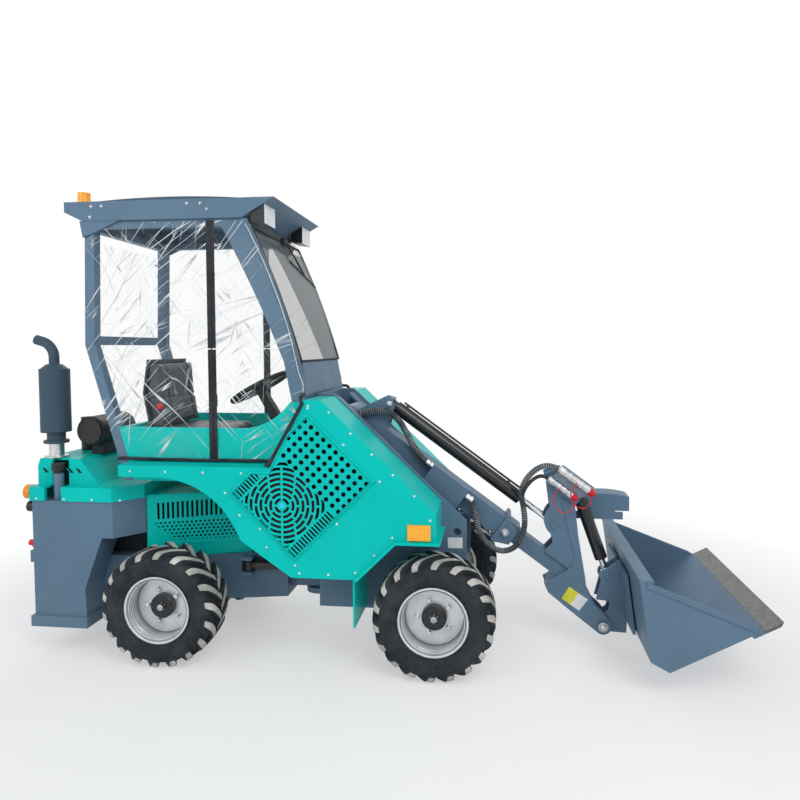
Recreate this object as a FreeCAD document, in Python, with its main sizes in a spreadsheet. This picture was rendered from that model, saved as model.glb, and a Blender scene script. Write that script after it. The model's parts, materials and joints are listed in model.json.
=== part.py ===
"""Articulated wheel loader with a telescopic boom, bucket and weather cab.

Machine frame: X forwards, Y to the left, Z up, in millimetres.  X = 0 is the articulation
pivot, Y = 0 the middle of the machine and Z = 0 the ground.  Every file is written moved
along X by the same amount, so that the origin is the middle of the machine's footprint.
"""
import FreeCAD, Part
import math
import os
import Sketcher
from FreeCAD import Placement, Rotation, Vector

doc = FreeCAD.newDocument("WheelLoader")
sheet = doc.addObject("Spreadsheet::Sheet", "Sizes")


# ---------------------------------------------------------------- sizes

class Size:
    """A number together with the spreadsheet expression that gives it."""

    def __init__(self, value, text):
        self.value = float(value)
        self.text = text

    def __add__(self, other):
        other = as_size(other)
        return Size(self.value + other.value, "(%s + %s)" % (self.text, other.text))

    def __radd__(self, other):
        return as_size(other) + self

    def __sub__(self, other):
        other = as_size(other)
        return Size(self.value - other.value, "(%s - %s)" % (self.text, other.text))

    def __rsub__(self, other):
        return as_size(other) - self

    def __mul__(self, other):
        other = as_size(other)
        return Size(self.value * other.value, "(%s * %s)" % (self.text, other.text))

    def __rmul__(self, other):
        return as_size(other) * self

    def __truediv__(self, other):
        other = as_size(other)
        return Size(self.value / other.value, "(%s / %s)" % (self.text, other.text))

    def __neg__(self):
        return 0 - self


def as_size(number):
    return number if isinstance(number, Size) else Size(number, "%.6g" % number)


def size(alias, number, meaning):
    """Adds one driving dimension to the spreadsheet."""
    size.row += 1
    sheet.set("A%d" % size.row, meaning)
    sheet.set("B%d" % size.row, "%.6g" % number)
    sheet.setAlias("B%d" % size.row, alias)
    return Size(number, "Sizes." + alias)


size.row = 0


def length_of(across, up):
    across, up = as_size(across), as_size(up)
    text = "sqrt(%s * %s + %s * %s)" % (across.text, across.text, up.text, up.text)
    return Size(math.hypot(across.value, up.value), text)


def heading_of(across, up):
    across, up = as_size(across), as_size(up)
    angle = math.degrees(math.atan2(up.value, across.value))
    return Size(angle, "(atan2(%s; %s) / 1 deg)" % (up.text, across.text))


def cosine(angle):
    return Size(math.cos(math.radians(angle.value)), "cos(%s)" % angle.text)


def sine(angle):
    return Size(math.sin(math.radians(angle.value)), "sin(%s)" % angle.text)


# overall layout
axle_x = size("axle_x", 676, "pivot to either axle, along X")
wheel_y = size("wheel_y", 415, "middle of the machine to the middle of a tyre")
fit = size("fit", 0.3, "gap of pieces that are seated on each other")
pin_play = size("pin_play", 0.08, "radial play of a pin in its bore")
sheet_metal = size("sheet_metal", 12, "thickness of the painted panels")
plate = size("plate", 20, "thickness of the frame plates")

# wheels
tyre_radius = size("tyre_radius", 292, "outer radius of a tyre")
tyre_width = size("tyre_width", 216, "section width of a tyre")
tyre_wall = size("tyre_wall", 16, "thickness of a tyre's wall")
bead_radius = size("bead_radius", 154, "radius of the bead seat of a rim")
rim_flange = size("rim_flange", 172, "outer radius of a rim flange")
rim_width = size("rim_width", 177, "width between the rim flanges")
rim_lip = size("rim_lip", 6.5, "thickness of a rim flange")
dish_radius = size("dish_radius", 141, "radius of the disc of a wheel")
dish_offset = size("dish_offset", 3, "wheel middle to the inner face of its disc")
dish_thickness = size("dish_thickness", 10, "thickness of the disc of a wheel")
hub_radius = size("hub_radius", 59, "radius of the hub cap")
hub_length = size("hub_length", 34, "how far the hub cap stands out of the disc")
stud_circle = size("stud_circle", 165.1, "pitch circle of the wheel studs")
stud_radius = size("stud_radius", 9, "radius of a wheel nut")
stud_count = size("stud_count", 5, "wheel studs in one wheel")
spindle_radius = size("spindle_radius", 25, "radius of an axle's spindle")
axle_radius = size("axle_radius", 48, "radius of an axle tube")
motor_radius = size("motor_radius", 88, "radius of the drum at the end of an axle")

# pivot between the frames
pivot_radius = size("pivot_radius", 30, "radius of the articulation pin")
tongue_low = size("tongue_low", 270, "underside of the rear frame's tongue")
tongue_high = size("tongue_high", 470, "top of the rear frame's tongue")
tongue_gap = size("tongue_gap", 8, "gap between the tongue and a pivot ear")
ear_thickness = size("ear_thickness", 27, "thickness of a pivot ear")
ear_radius = size("ear_radius", 74, "outer radius of a pivot ear")
tongue_radius = size("tongue_radius", 52, "outer radius of the tongue's end")

# front chassis and tower
chassis_y = size("chassis_y", 230, "outer face of the front chassis plates")
chassis_low = size("chassis_low", 235, "underside of the front chassis")
chassis_back = size("chassis_back", 60, "back face of the front chassis")
chassis_reach = size("chassis_reach", 142, "axle to the front edge of the front chassis")
chassis_front = axle_x + chassis_reach
rim_front_z = size("rim_front_z", 700, "height of the front end of the plates' slope")
tower_top = size("tower_top", 1335, "top of the tower")
tower_x = size("tower_x", 145, "front end of the flat top of the tower")

# boom
boom_x = size("boom_x", 190, "boom pivot along X")
boom_z = size("boom_z", 1215, "boom pivot height")
boom_droop = size("boom_droop", 36, "angle of the lowered boom below level")
boom_pin = size("boom_pin", 25, "radius of the boom's pivot pin")
boom_hub = size("boom_hub", 50, "outer radius of the boom's pivot hub")
boom_hub_y = size("boom_hub_y", 100, "half width of the boom's pivot hub")
boom_y = size("boom_y", 60, "half width of the outer boom")
boom_over = size("boom_over", 50, "outer boom's top above the boom line")
boom_under = size("boom_under", 60, "outer boom's underside below the boom line")
boom_wall = size("boom_wall", 8, "wall of the outer boom")
boom_end = size("boom_end", 1078, "front end of the outer boom along the boom line")
guard_back = size("guard_back", 516, "back end of the hose guard along the boom line")
guard_front = size("guard_front", 742, "front end of the hose guard along the boom line")
slide_gap = size("slide_gap", 8, "gap between the outer and the inner boom")
nose_plate = size("nose_plate", 14, "thickness of the inner boom's mast plates")
doubler = size("doubler", 5, "how far the nose plates stand out of the mast plates")
inner_wall = size("inner_wall", 8, "wall of the inner boom")
inner_back = size("inner_back", 330, "back end of the inner boom along the boom line")
nose_s = size("nose_s", 1720, "coupler pivot along the boom line")
nose_n = size("nose_n", -105, "coupler pivot above the boom line")
nose_pin = size("nose_pin", 20, "radius of the coupler's pivot pin")
mast_s = size("mast_s", 1190, "tilt cylinder's upper pin along the boom line")
mast_n = size("mast_n", 390, "tilt cylinder's upper pin above the boom line")
tilt_s = size("tilt_s", 1585, "tilt cylinder's lower pin along the boom line")
tilt_n = size("tilt_n", 120, "tilt cylinder's lower pin above the boom line")
tele_s = size("tele_s", 136, "telescope cylinder's back pin along the boom line")
tele_n = size("tele_n", 167, "telescope cylinder above the boom line")
tele_eye = size("tele_eye", 1204, "telescope cylinder's front pin along the boom line")
lift_base_x = size("lift_base_x", 175, "lift cylinder's lower pin along X")
lift_base_z = size("lift_base_z", 450, "lift cylinder's lower pin height")
lift_s = size("lift_s", 250, "lift cylinder's upper pin along the boom line")
lift_n = size("lift_n", -95, "lift cylinder's upper pin above the boom line")
steer_base_x = size("steer_base_x", -340, "steering cylinder's back pin along X")
steer_base_y = size("steer_base_y", -185, "steering cylinder's back pin along Y")
steer_eye_x = size("steer_eye_x", 8, "steering cylinder's front pin along X")
steer_eye_y = size("steer_eye_y", -122, "steering cylinder's front pin along Y")
steer_z = size("steer_z", 420, "height of the steering cylinder")
pin_radius = size("pin_radius", 16, "radius of the cylinders' pins")
box_x = size("box_x", 1446, "back of the coupler box along X")
box_z = size("box_z", 680, "underside of the coupler box")
hose_radius = size("hose_radius", 15, "radius of the hoses' sleeves")

# bucket and coupler, along X and Z at rest
bucket_y = size("bucket_y", 525, "half width of the bucket")
bucket_wall = size("bucket_wall", 9, "wall of the bucket")
back_top_x = size("back_top_x", 1601, "bucket's top back edge along X")
back_top_z = size("back_top_z", 537, "bucket's top back edge height")
back_low_x = size("back_low_x", 1654, "bucket's low back edge along X")
back_low_z = size("back_low_z", 164, "bucket's low back edge height")
heel_x = size("heel_x", 1737, "bucket's heel along X")
heel_z = size("heel_z", 121, "bucket's heel height")
lip_x = size("lip_x", 2136, "front end of the bucket's sides along X")
lip_z = size("lip_z", 333, "front end of the bucket's sides height")
edge_reach = size("edge_reach", 86, "how far the cutting edge stands out")
edge_thickness = size("edge_thickness", 14, "thickness of the cutting edge")

# front body
body_y = size("body_y", 500, "outer face of the front side panels")
slope_x = size("slope_x", 691, "front end of the side panels' fold along X")
slope_z = size("slope_z", 800, "front end of the side panels' fold height")
hood_x = size("hood_x", 151, "top of the side panels' fold along X")
hood_z = size("hood_z", 1322, "top of the side panels' fold height")
arch_x = size("arch_x", 505, "front arch's upper corner along X")
arch_z = size("arch_z", 658, "front arch's height")
sill_x = size("sill_x", 320, "front arch's lower corner along X")
sill_z = size("sill_z", 477, "underside of the side panels")
rear_arch_x = size("rear_arch_x", -660, "top of the rear arch along X")
rear_arch_z = size("rear_arch_z", 942, "top of the rear arch height")
rear_arch_radius = size("rear_arch_radius", 434, "radius of the rear arch")
ledge_z = size("ledge_z", 1000, "top of the ledge under the cab's covers")
ledge_back = size("ledge_back", -862, "back end of the ledge along X")
lip_width = size("lip_width", 30, "how far the arch's lip stands out")
flap_x = size("flap_x", 308, "mud flap's back face along X")
flap_z = size("flap_z", 250, "mud flap's lower edge")
diag_low_x = size("diag_low_x", -119, "lower end of the cover's slanting edge along X")
diag_high_x = size("diag_high_x", 62, "upper end of the cover's slanting edge along X")
grille_rise = size("grille_rise", 11, "how far the grilles stand out of the side panels")
grille_x = size("grille_x", -301, "rear corner of the side grilles along X")
grille_z = size("grille_z", 877, "rear corner of the side grilles height")
grille_climb = size("grille_climb", 389, "rise of a grille's rising edge, along X and up")
grille_fall = size("grille_fall", 320, "fall of a grille's falling edge, along X and down")

# cab
cab_y = size("cab_y", 370, "half width of the cab's frame")
cab_front = size("cab_front", 40, "cab's front wall along X")
tub_low = size("tub_low", 900, "underside of the cab's floor")
tub_high = size("tub_high", 1170, "top edge of the tub's sides")
tub_wall = size("tub_wall", 20, "thickness of the tub")
well_x = size("well_x", -200, "back of the foot well along X")
well_y = size("well_y", 285, "half width of the foot well")
well_low = size("well_low", 705, "underside of the foot well")
post = size("post", 50, "depth and width of the cab's posts")
rear_foot_x = size("rear_foot_x", -903, "rear post at the floor's underside along X")
rear_knee_x = size("rear_knee_x", -1102, "rear post's bend along X")
rear_knee_z = size("rear_knee_z", 1584, "rear post's bend height")
rear_head_x = size("rear_head_x", -1087, "rear post's top along X")
roof_low = size("roof_low", 2200, "underside of the roof")
roof_high = size("roof_high", 2295, "top edge of the roof's sides")
roof_back = size("roof_back", -1185, "back end of the roof along X")
roof_front = size("roof_front", -103, "front end of the roof along X")
roof_y = size("roof_y", 385, "half width of the roof")
dome_rise = size("dome_rise", 30, "rise of the roof's skin")
glass = size("glass", 6, "thickness of the windscreen")
pane_top_x = size("pane_top_x", -246, "windscreen's top along X")
pane_mid_x = size("pane_mid_x", -89, "windscreen's bulge along X")
pane_mid_z = size("pane_mid_z", 1851, "windscreen's bulge height")
pane_low_x = size("pane_low_x", 17, "windscreen's lower edge along X")
pane_low_z = size("pane_low_z", 1499, "windscreen's lower edge height")
cowl_low_z = size("cowl_low_z", 1340, "lower edge of the cowl")
cover = size("cover", 4, "thickness of the clear cab covers")
lamp_x = size("lamp_x", -154, "lenses of the work lamps along X")

# rear body
weight_back = size("weight_back", -1380, "back face of the counterweight along X")
weight_y = size("weight_y", 420, "half width of the counterweight")
weight_top = size("weight_top", 796, "top of the counterweight")
weight_step = size("weight_step", 612, "underside of the counterweight's arms")
weight_low = size("weight_low", 150, "underside of the counterweight")
weight_clear = size("weight_clear", 272, "rear axle to the front end of the arms' sides")
nose_clear = size("nose_clear", 166, "rear axle to the front end of the arms")
weight_front = -(axle_x + weight_clear)
weight_nose = -(axle_x + nose_clear)
weight_nose_y = size("weight_nose_y", 297, "front end of the arms along Y")
bay_y = size("bay_y", 262, "half width of the engine bay in the counterweight")
wall_back = size("wall_back", 90, "thickness of the counterweight's back wall")
beam_y = size("beam_y", 255, "half width of the rear chassis at the back")
beam_nose_x = size("beam_nose_x", -150, "front end of the rear chassis beam along X")
beam_nose_y = size("beam_nose_y", 110, "half width of the beam at its front end")
beam_low = size("beam_low", 230, "underside of the rear chassis")
beam_wall = size("beam_wall", 18, "thickness of the rear chassis plates")
cover_back_y = size("cover_back_y", 288, "half width of the engine cover at its back")
cover_front_x = size("cover_front_x", -345, "front end of the engine cover along X")
cover_front_y = size("cover_front_y", 122, "half width of the engine cover at its front")
cover_top = size("cover_top", 805, "top of the engine cover")
skirt_top = size("skirt_top", 868, "top of the hood's skirt")
hood_top = size("hood_top", 1000, "top of the engine hood")
hood_y = size("hood_y", 360, "half width of the engine hood above its skirt")
hood_nose = size("hood_nose", -1058, "front end of the hood's upper part along X")
muffler_x = size("muffler_x", -1325, "muffler along X")
muffler_y = size("muffler_y", -300, "muffler along Y")
muffler_radius = size("muffler_radius", 72, "radius of the muffler")
muffler_low = size("muffler_low", 1133, "underside of the muffler")
muffler_high = size("muffler_high", 1461, "top of the muffler's side")
stack_radius = size("stack_radius", 25, "radius of the tail pipe")
cleaner_x = size("cleaner_x", -1162, "air cleaner along X")
cleaner_z = size("cleaner_z", 1130, "air cleaner height")
cleaner_radius = size("cleaner_radius", 78, "radius of the air cleaner")
filler_x = size("filler_x", -1262, "fuel filler along X")
filler_y = size("filler_y", -375, "fuel filler along Y")
tow_x = size("tow_x", -1450, "tow jaw's bore along X")
tow_bore = size("tow_bore", 14, "radius of the tow jaw's bore")


# ---------------------------------------------------------------- tools of the model

made = {}


def bind(thing, name, value):
    """Ties one property to its spreadsheet expression."""
    value = as_size(value)
    thing.setExpression(name, value.text)


def unique(name):
    made[name] = made.get(name, 0) + 1
    return name if made[name] == 1 else "%s_%d" % (name, made[name])


def plane_of(body, role):
    return [item for item in body.Origin.OriginFeatures if item.Role == role][0]


def pin_point(sketch, geometry, vertex, across, up):
    """Fixes one vertex of a sketch by its two distances from the sketch's origin."""
    for kind, value in (("DistanceX", as_size(across)), ("DistanceY", as_size(up))):
        limit = Sketcher.Constraint(kind, -1, 1, geometry, vertex, value.value)
        number = sketch.addConstraint(limit)
        sketch.setExpression("Constraints[%d]" % number, value.text)


def flat(across, up):
    return Vector(as_size(across).value, as_size(up).value, 0)


def draw_outline(sketch, corners):
    """A closed outline; a corner with a third entry is reached by an arc through that point."""
    ends = []
    for index, corner in enumerate(corners):
        before = corners[index - 1]
        start, end = flat(*before[:2]), flat(*corner[:2])
        if len(corner) == 3:
            through = flat(*corner[2])
            forwards = (through - start).cross(end - through).z > 0
            arc = Part.Arc(start, through, end) if forwards else Part.Arc(end, through, start)
            number = sketch.addGeometry(arc, False)
            ends.append((number, 1, 2) if forwards else (number, 2, 1))
        else:
            number = sketch.addGeometry(Part.LineSegment(start, end), False)
            ends.append((number, 1, 2))
    for index, corner in enumerate(corners):
        number, start_vertex, end_vertex = ends[index]
        following = ends[(index + 1) % len(ends)]
        meet = Sketcher.Constraint("Coincident", number, end_vertex, following[0], following[1])
        sketch.addConstraint(meet)
        pin_point(sketch, number, end_vertex, corner[0], corner[1])
    for index, corner in enumerate(corners):
        if len(corner) == 3:
            point = sketch.addGeometry(Part.Point(flat(*corner[2])), True)
            on_arc = Sketcher.Constraint("PointOnObject", point, 1, ends[index][0])
            sketch.addConstraint(on_arc)
            pin_point(sketch, point, 1, *corner[2])


def draw_circle(sketch, across, up, radius):
    radius = as_size(radius)
    circle = Part.Circle(flat(across, up), Vector(0, 0, 1), radius.value)
    number = sketch.addGeometry(circle, False)
    pin_point(sketch, number, 3, across, up)
    limit = sketch.addConstraint(Sketcher.Constraint("Radius", number, radius.value))
    sketch.setExpression("Constraints[%d]" % limit, radius.text)


def new_sketch(body, role):
    sketch = body.newObject("Sketcher::SketchObject", unique("Outline"))
    sketch.AttachmentSupport = [(plane_of(body, role), "")]
    sketch.MapMode = "FlatFace"
    return sketch


def padded(name, role, outline, low, high, holes, towards_plus):
    body = doc.addObject("PartDesign::Body", unique(name))
    sketch = new_sketch(body, role)
    draw_outline(sketch, outline)
    for across, up, radius in holes:
        draw_circle(sketch, across, up, radius)
    bind(sketch, "AttachmentOffset.Base.z", as_size(low) if towards_plus else -as_size(low))
    pad = body.newObject("PartDesign::Pad", unique("Pad"))
    pad.Profile = sketch
    pad.Reversed = not towards_plus
    bind(pad, "Length", as_size(high) - low)
    return body


def slab(name, outline, low, high, holes=()):
    """A plate drawn from the side, as (x, z) corners, from y = low to y = high."""
    return padded(name, "XZ_Plane", outline, low, high, holes, False)


def deck(name, outline, low, high, holes=()):
    """A plate drawn from above, as (x, y) corners, from z = low to z = high."""
    return padded(name, "XY_Plane", outline, low, high, holes, True)


def turned(name, outline):
    """A ring turned about its own Y axis, drawn as (radius, y) corners."""
    body = doc.addObject("PartDesign::Body", unique(name))
    sketch = new_sketch(body, "XY_Plane")
    draw_outline(sketch, outline)
    ring = body.newObject("PartDesign::Revolution", unique("Turn"))
    ring.Profile = sketch
    ring.ReferenceAxis = (sketch, ["V_Axis"])
    ring.Angle = 360
    return body


def block(name, x, y, z):
    """A box between pairs of limits along X, Y and Z."""
    box = doc.addObject("Part::Box", unique(name))
    for size_name, axis, (low, high) in (("Length", "x", x), ("Width", "y", y), ("Height", "z", z)):
        bind(box, size_name, as_size(high) - low)
        bind(box, "Placement.Base." + axis, low)
    return box


TURNS = {"X": Rotation(Vector(0, 1, 0), 90), "Y": Rotation(Vector(1, 0, 0), -90), "Z": Rotation()}


def rod(name, axis, start, reach, radius):
    """A round bar from a start point, along one axis."""
    bar = doc.addObject("Part::Cylinder", unique(name))
    bar.Placement = Placement(Vector(), TURNS[axis])
    bind(bar, "Radius", radius)
    bind(bar, "Height", reach)
    for letter, value in zip("xyz", start):
        bind(bar, "Placement.Base." + letter, value)
    return bar


def cross_pin(name, x, z, half, radius):
    """A round bar along Y, as long on the left as on the right."""
    return rod(name, "Y", (x, -as_size(half), z), 2 * as_size(half), radius)


def joined(name, *pieces):
    fuse = doc.addObject("Part::MultiFuse", unique(name))
    fuse.Shapes = list(pieces)
    fuse.Refine = True
    return fuse


def together(name, *pieces):
    """Separate solids that share one node."""
    group = doc.addObject("Part::Compound", unique(name))
    group.Links = list(pieces)
    return group


def cut(name, base, *tools):
    tool = tools[0] if len(tools) == 1 else together("Tools", *tools)
    result = doc.addObject("Part::Cut", unique(name))
    result.Base = base
    result.Tool = tool
    result.Refine = True
    return result


def mirrored(name, piece):
    """The same piece on the other side of the machine."""
    other = doc.addObject("Part::Mirroring", unique(name))
    other.Source = piece
    other.Normal = Vector(0, 1, 0)
    return other


def pair(name, piece):
    return together(name, piece, mirrored("Other", piece))


def put(piece, x, y, z, axis=(0, 1, 0), angle=0):
    """Places a piece that was made in its own frame."""
    x, y, z, angle = as_size(x), as_size(y), as_size(z), as_size(angle)
    place = "placement(vector(%s; %s; %s); vector(%d; %d; %d); %s)"
    piece.setExpression("Placement", place % (x.text, y.text, z.text, *axis, angle.text))
    return piece


nodes = []


def node(label, piece):
    """Names a finished sub-part: its label is the name of its file."""
    piece.Label = label
    nodes.append(piece)
    return piece


def on_boom(s, n):
    """A point given along and above the boom line, in the machine frame."""
    x = boom_x + s * cosine(boom_droop) + n * sine(boom_droop)
    z = boom_z - s * sine(boom_droop) + n * cosine(boom_droop)
    return x, z


def with_boom(piece):
    """Puts a piece made along the boom line where the lowered boom is."""
    return put(piece, boom_x, 0, boom_z, (0, 1, 0), boom_droop)


# ---------------------------------------------------------------- wheels and axles

def tyre():
    half = tyre_width / 2
    bead = rim_width / 2 - fit
    seat = bead_radius + fit
    tread = half - 28
    inner = tyre_radius - tyre_wall
    waist = tyre_radius - 58
    outline = [
        (seat, -bead), (rim_flange + 3, -bead), (rim_flange + 8, -half + 10), (waist, -half),
        (tyre_radius, -tread, (tyre_radius - 16, -half + 9)), (tyre_radius, tread),
        (waist, half, (tyre_radius - 16, half - 9)), (rim_flange + 8, half - 10),
        (rim_flange + 3, bead), (seat, bead), (seat, bead - tyre_wall),
        (rim_flange + 8, half - 10 - tyre_wall),
        (waist, half - tyre_wall), (inner, tread - 6), (inner, 6 - tread),
        (waist, tyre_wall - half), (rim_flange + 8, tyre_wall + 10 - half),
        (seat, tyre_wall - bead)]
    return turned("Tyre", outline)


def rim():
    """Rim and disc, with the hub, its cap and the wheel nuts."""
    half = rim_width / 2
    outer = half + rim_lip
    face = dish_offset + dish_thickness
    bowl = dish_radius + 5
    ring = turned("Rim", [
        (rim_flange, -outer), (rim_flange, -half), (bead_radius, -half), (bead_radius, half),
        (rim_flange, half), (rim_flange, outer), (rim_flange - 14, outer), (bowl, outer - 9),
        (dish_radius, face), (0, face), (0, face - dish_thickness),
        (dish_radius, dish_offset), (bowl, dish_offset - 12), (bowl, 9 - outer),
        (rim_flange - 14, -outer)])
    cap = turned("HubCap", [
        (0, face), (hub_radius, face), (hub_radius, face + hub_length - 6),
        (hub_radius - 6, face + hub_length), (20, face + hub_length),
        (20, face + hub_length + 14), (0, face + hub_length + 14)])
    flange = rod("HubFlange", "Y", (0, -15, 0), dish_offset + 15, stud_circle / 2 + 18)
    nut = rod("Nut", "Y", (stud_circle / 2, face, 0), 14, stud_radius)
    nuts = [nut]
    for turn in range(1, int(stud_count.value)):
        copy = rod("Nut", "Y", (0, face, 0), 14, stud_radius)
        angle = as_size(360 * turn) / stud_count
        bind(copy, "Placement.Base.x", stud_circle / 2 * cosine(angle))
        bind(copy, "Placement.Base.z", stud_circle / 2 * sine(angle))
        nuts.append(copy)
    body = joined("Wheel", ring, cap, flange, *nuts)
    bore = rod("Bore", "Y", (0, -20, 0), 20 + face + hub_length - 10, spindle_radius + pin_play)
    return cut("WheelBored", body, bore)


def wheels():
    corners = (("front_left", axle_x, 1), ("front_right", axle_x, -1),
               ("rear_left", -axle_x, 1), ("rear_right", -axle_x, -1))
    for name, x, side in corners:
        turn = 0 if side > 0 else 180
        for kind, make in (("tyre", tyre), ("rim", rim)):
            piece = put(make(), x, side * wheel_y, tyre_radius, (0, 0, 1), turn)
            node("%s_%s" % (kind, name), piece)


def axle(label, x, deck_z):
    """A tube with a gear case, a drum and a spindle at each end, and pads under the frame."""
    drum_end = wheel_y - 15 - 6
    spindle_end = wheel_y + dish_offset + dish_thickness + hub_length - 14
    tube = cross_pin("AxleTube", x, tyre_radius, drum_end, axle_radius)
    spindle = cross_pin("Spindle", x, tyre_radius, spindle_end, spindle_radius)
    case = block("GearCase", (x - 95, x + 95), (-80, 80), (tyre_radius - 85, deck_z - 40))
    drum = rod("Drum", "Y", (x, drum_end - 95, tyre_radius), 95, motor_radius)
    pad = block("Pad", (x - 60, x + 60), (100, 180), (tyre_radius, deck_z))
    pieces = [drum, mirrored("Drum", drum), pad, mirrored("Pad", pad)]
    return node(label, joined("Axle", tube, spindle, case, *pieces))


def axle_hole(x):
    return cross_pin("AxleHole", x, tyre_radius, chassis_y + 60, axle_radius + fit)


# ---------------------------------------------------------------- rear frame

def beam_half(x):
    """Half width of the tapered rear chassis at a place along X."""
    slope = (beam_y - beam_nose_y) / (beam_nose_x - weight_nose)
    return beam_nose_y + (beam_nose_x - x) * slope


def tapered(back, back_y, knee, knee_y, front, front_y):
    return [(back, -back_y), (knee, -knee_y), (front, -front_y),
            (front, front_y), (knee, knee_y), (back, back_y)]


def rear_chassis():
    back = weight_back + wall_back + fit
    outer = deck("Beam", tapered(back, beam_y, weight_nose, beam_y, beam_nose_x, beam_nose_y),
                 beam_low, tongue_high)
    inner = deck("BeamHollow", tapered(
        back + beam_wall, beam_y - beam_wall, weight_nose, beam_y - beam_wall,
        beam_nose_x - beam_wall, beam_nose_y - beam_wall), beam_low - 5, tongue_high - beam_wall)
    hollow_beam = cut("HollowBeam", outer, inner, axle_hole(-axle_x))
    arm = block("TongueArm", (beam_nose_x - 1, 0), (-tongue_radius, tongue_radius),
                (tongue_low, tongue_high))
    end = rod("TongueEnd", "Z", (0, 0, tongue_low), tongue_high - tongue_low, tongue_radius)
    lug_low = block("SteerLug", (steer_base_x - 30, steer_base_x + 30),
                    (steer_base_y - 30, -beam_half(steer_base_x + 30) + 4),
                    (steer_z - 48, steer_z - 32))
    lug_high = block("SteerLug", (steer_base_x - 30, steer_base_x + 30),
                     (steer_base_y - 30, -beam_half(steer_base_x + 30) + 4),
                     (steer_z + 32, steer_z + 48))
    pin = rod("SteerPin", "Z", (steer_base_x, steer_base_y, steer_z - 54), 108, pin_radius)
    whole = joined("RearChassis", hollow_beam, arm, end, lug_low, lug_high, pin)
    bore = rod("PivotBore", "Z", (0, 0, tongue_low - 5), tongue_high - tongue_low + 10,
               pivot_radius + pin_play)
    node("rear_chassis", cut("RearChassisBored", whole, bore))


def arms_outline(grow, bay):
    """Plan of the counterweight's arms, or of what sits on them."""
    back, side = weight_back - grow, weight_y + grow
    return [(back, -side), (weight_front, -side), (weight_nose, -weight_nose_y - grow),
            (weight_nose, -bay), (weight_nose, bay), (weight_nose, weight_nose_y + grow),
            (weight_front, side), (back, side)]


def counterweight():
    arms = deck("Arms", arms_outline(0, bay_y), weight_step, weight_top)
    legs = slab("Legs", [
        (weight_back, weight_low + 55), (weight_back + 280, weight_low + 55),
        (weight_back + 275, weight_low + 200), (weight_back + 373, weight_step),
        (weight_back, weight_step)], -weight_y, weight_y)
    base = block("Base", (weight_back - 14, weight_back + 290), (-weight_y - 14, weight_y + 14),
                 (weight_low, weight_low + 55))
    whole = joined("Weight", arms, legs, base)
    bay = block("Bay", (weight_back + wall_back, 0), (-bay_y, bay_y), (0, weight_top + 10))
    node("counterweight", cut("WeightHollow", whole, bay))


def engine_hood():
    skin = sheet_metal
    skirt = deck("Skirt", arms_outline(8, bay_y), weight_top + fit, skirt_top)
    upper = slab("HoodTop", [
        (weight_back - 8, skirt_top), (weight_back - 8, hood_top - 40),
        (weight_back + 5, hood_top), (hood_nose - 95, hood_top), (hood_nose, skirt_top)],
        -hood_y, hood_y)
    whole = joined("Hood", skirt, upper)
    low_room = deck("HoodRoom", [
        (weight_back + 8, -weight_y + skin), (weight_front - 5, -weight_y + skin),
        (weight_nose - skin, -weight_nose_y + skin + 8), (weight_nose - skin, weight_nose_y - skin - 8),
        (weight_front - 5, weight_y - skin), (weight_back + 8, weight_y - skin)],
        weight_top - 10, skirt_top - skin)
    high_room = slab("HoodRoom", [
        (weight_back + 8, skirt_top - skin - 5), (weight_back + 8, hood_top - skin),
        (hood_nose - 100, hood_top - skin), (hood_nose - 20, skirt_top - skin - 5)],
        skin - hood_y, hood_y - skin)
    notch = block("Notch", (filler_x - 45, filler_x + 45), (-weight_y - 20, filler_y + 45),
                  (weight_top - 5, hood_top + 5))
    node("engine_hood", cut("HoodHollow", whole, low_room, high_room, notch))


def engine_cover():
    """The side panels of the engine bay and the plate that joins them, in one fold."""
    back = weight_nose + fit
    outer = deck("Cover", [
        (back, -cover_back_y), (cover_front_x, -cover_front_y),
        (cover_front_x, cover_front_y), (back, cover_back_y)], tongue_high + fit, cover_top)
    room = deck("CoverRoom", [
        (back - 5, sheet_metal - cover_back_y),
        (cover_front_x - sheet_metal, sheet_metal - cover_front_y),
        (cover_front_x - sheet_metal, cover_front_y - sheet_metal),
        (back - 5, cover_back_y - sheet_metal)],
        tongue_high - 5, cover_top - sheet_metal)
    run, rise = cover_front_x - back, cover_back_y - cover_front_y
    turn = heading_of(run, rise)
    long = length_of(run, rise)
    corner_z = tongue_high + 90
    window = put(slab("VentWindow", [
        (45, corner_z + 80), (150, corner_z), (long - 50, corner_z), (long - 50, cover_top - 30),
        (45, cover_top - 30)], -20, 30), back, -cover_back_y, 0, (0, 0, 1), turn)
    vent = put(slab("Vent", [
        (20, corner_z + 70), (130, corner_z - 25), (long - 25, corner_z - 25), (long - 25, cover_top - 8),
        (20, cover_top - 8)], -3 - fit, -fit), back, -cover_back_y, 0, (0, 0, 1), turn)
    node("engine_cover", cut("CoverHollow", outer, room, window, mirrored("VentWindow", window)))
    node("engine_vents", pair("Vents", vent))


def engine_block():
    node("engine_block", block("Engine", (weight_back + 140, -720), (-185, 185),
                               (tongue_high, cover_top - 30)))




def fuel_filler():
    neck = rod("Neck", "Z", (filler_x, filler_y, weight_top), 150, 24)
    cap = rod("Cap", "Z", (filler_x, filler_y, weight_top + 150), 34, 33)
    node("fuel_filler", joined("Filler", neck, cap))


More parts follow.
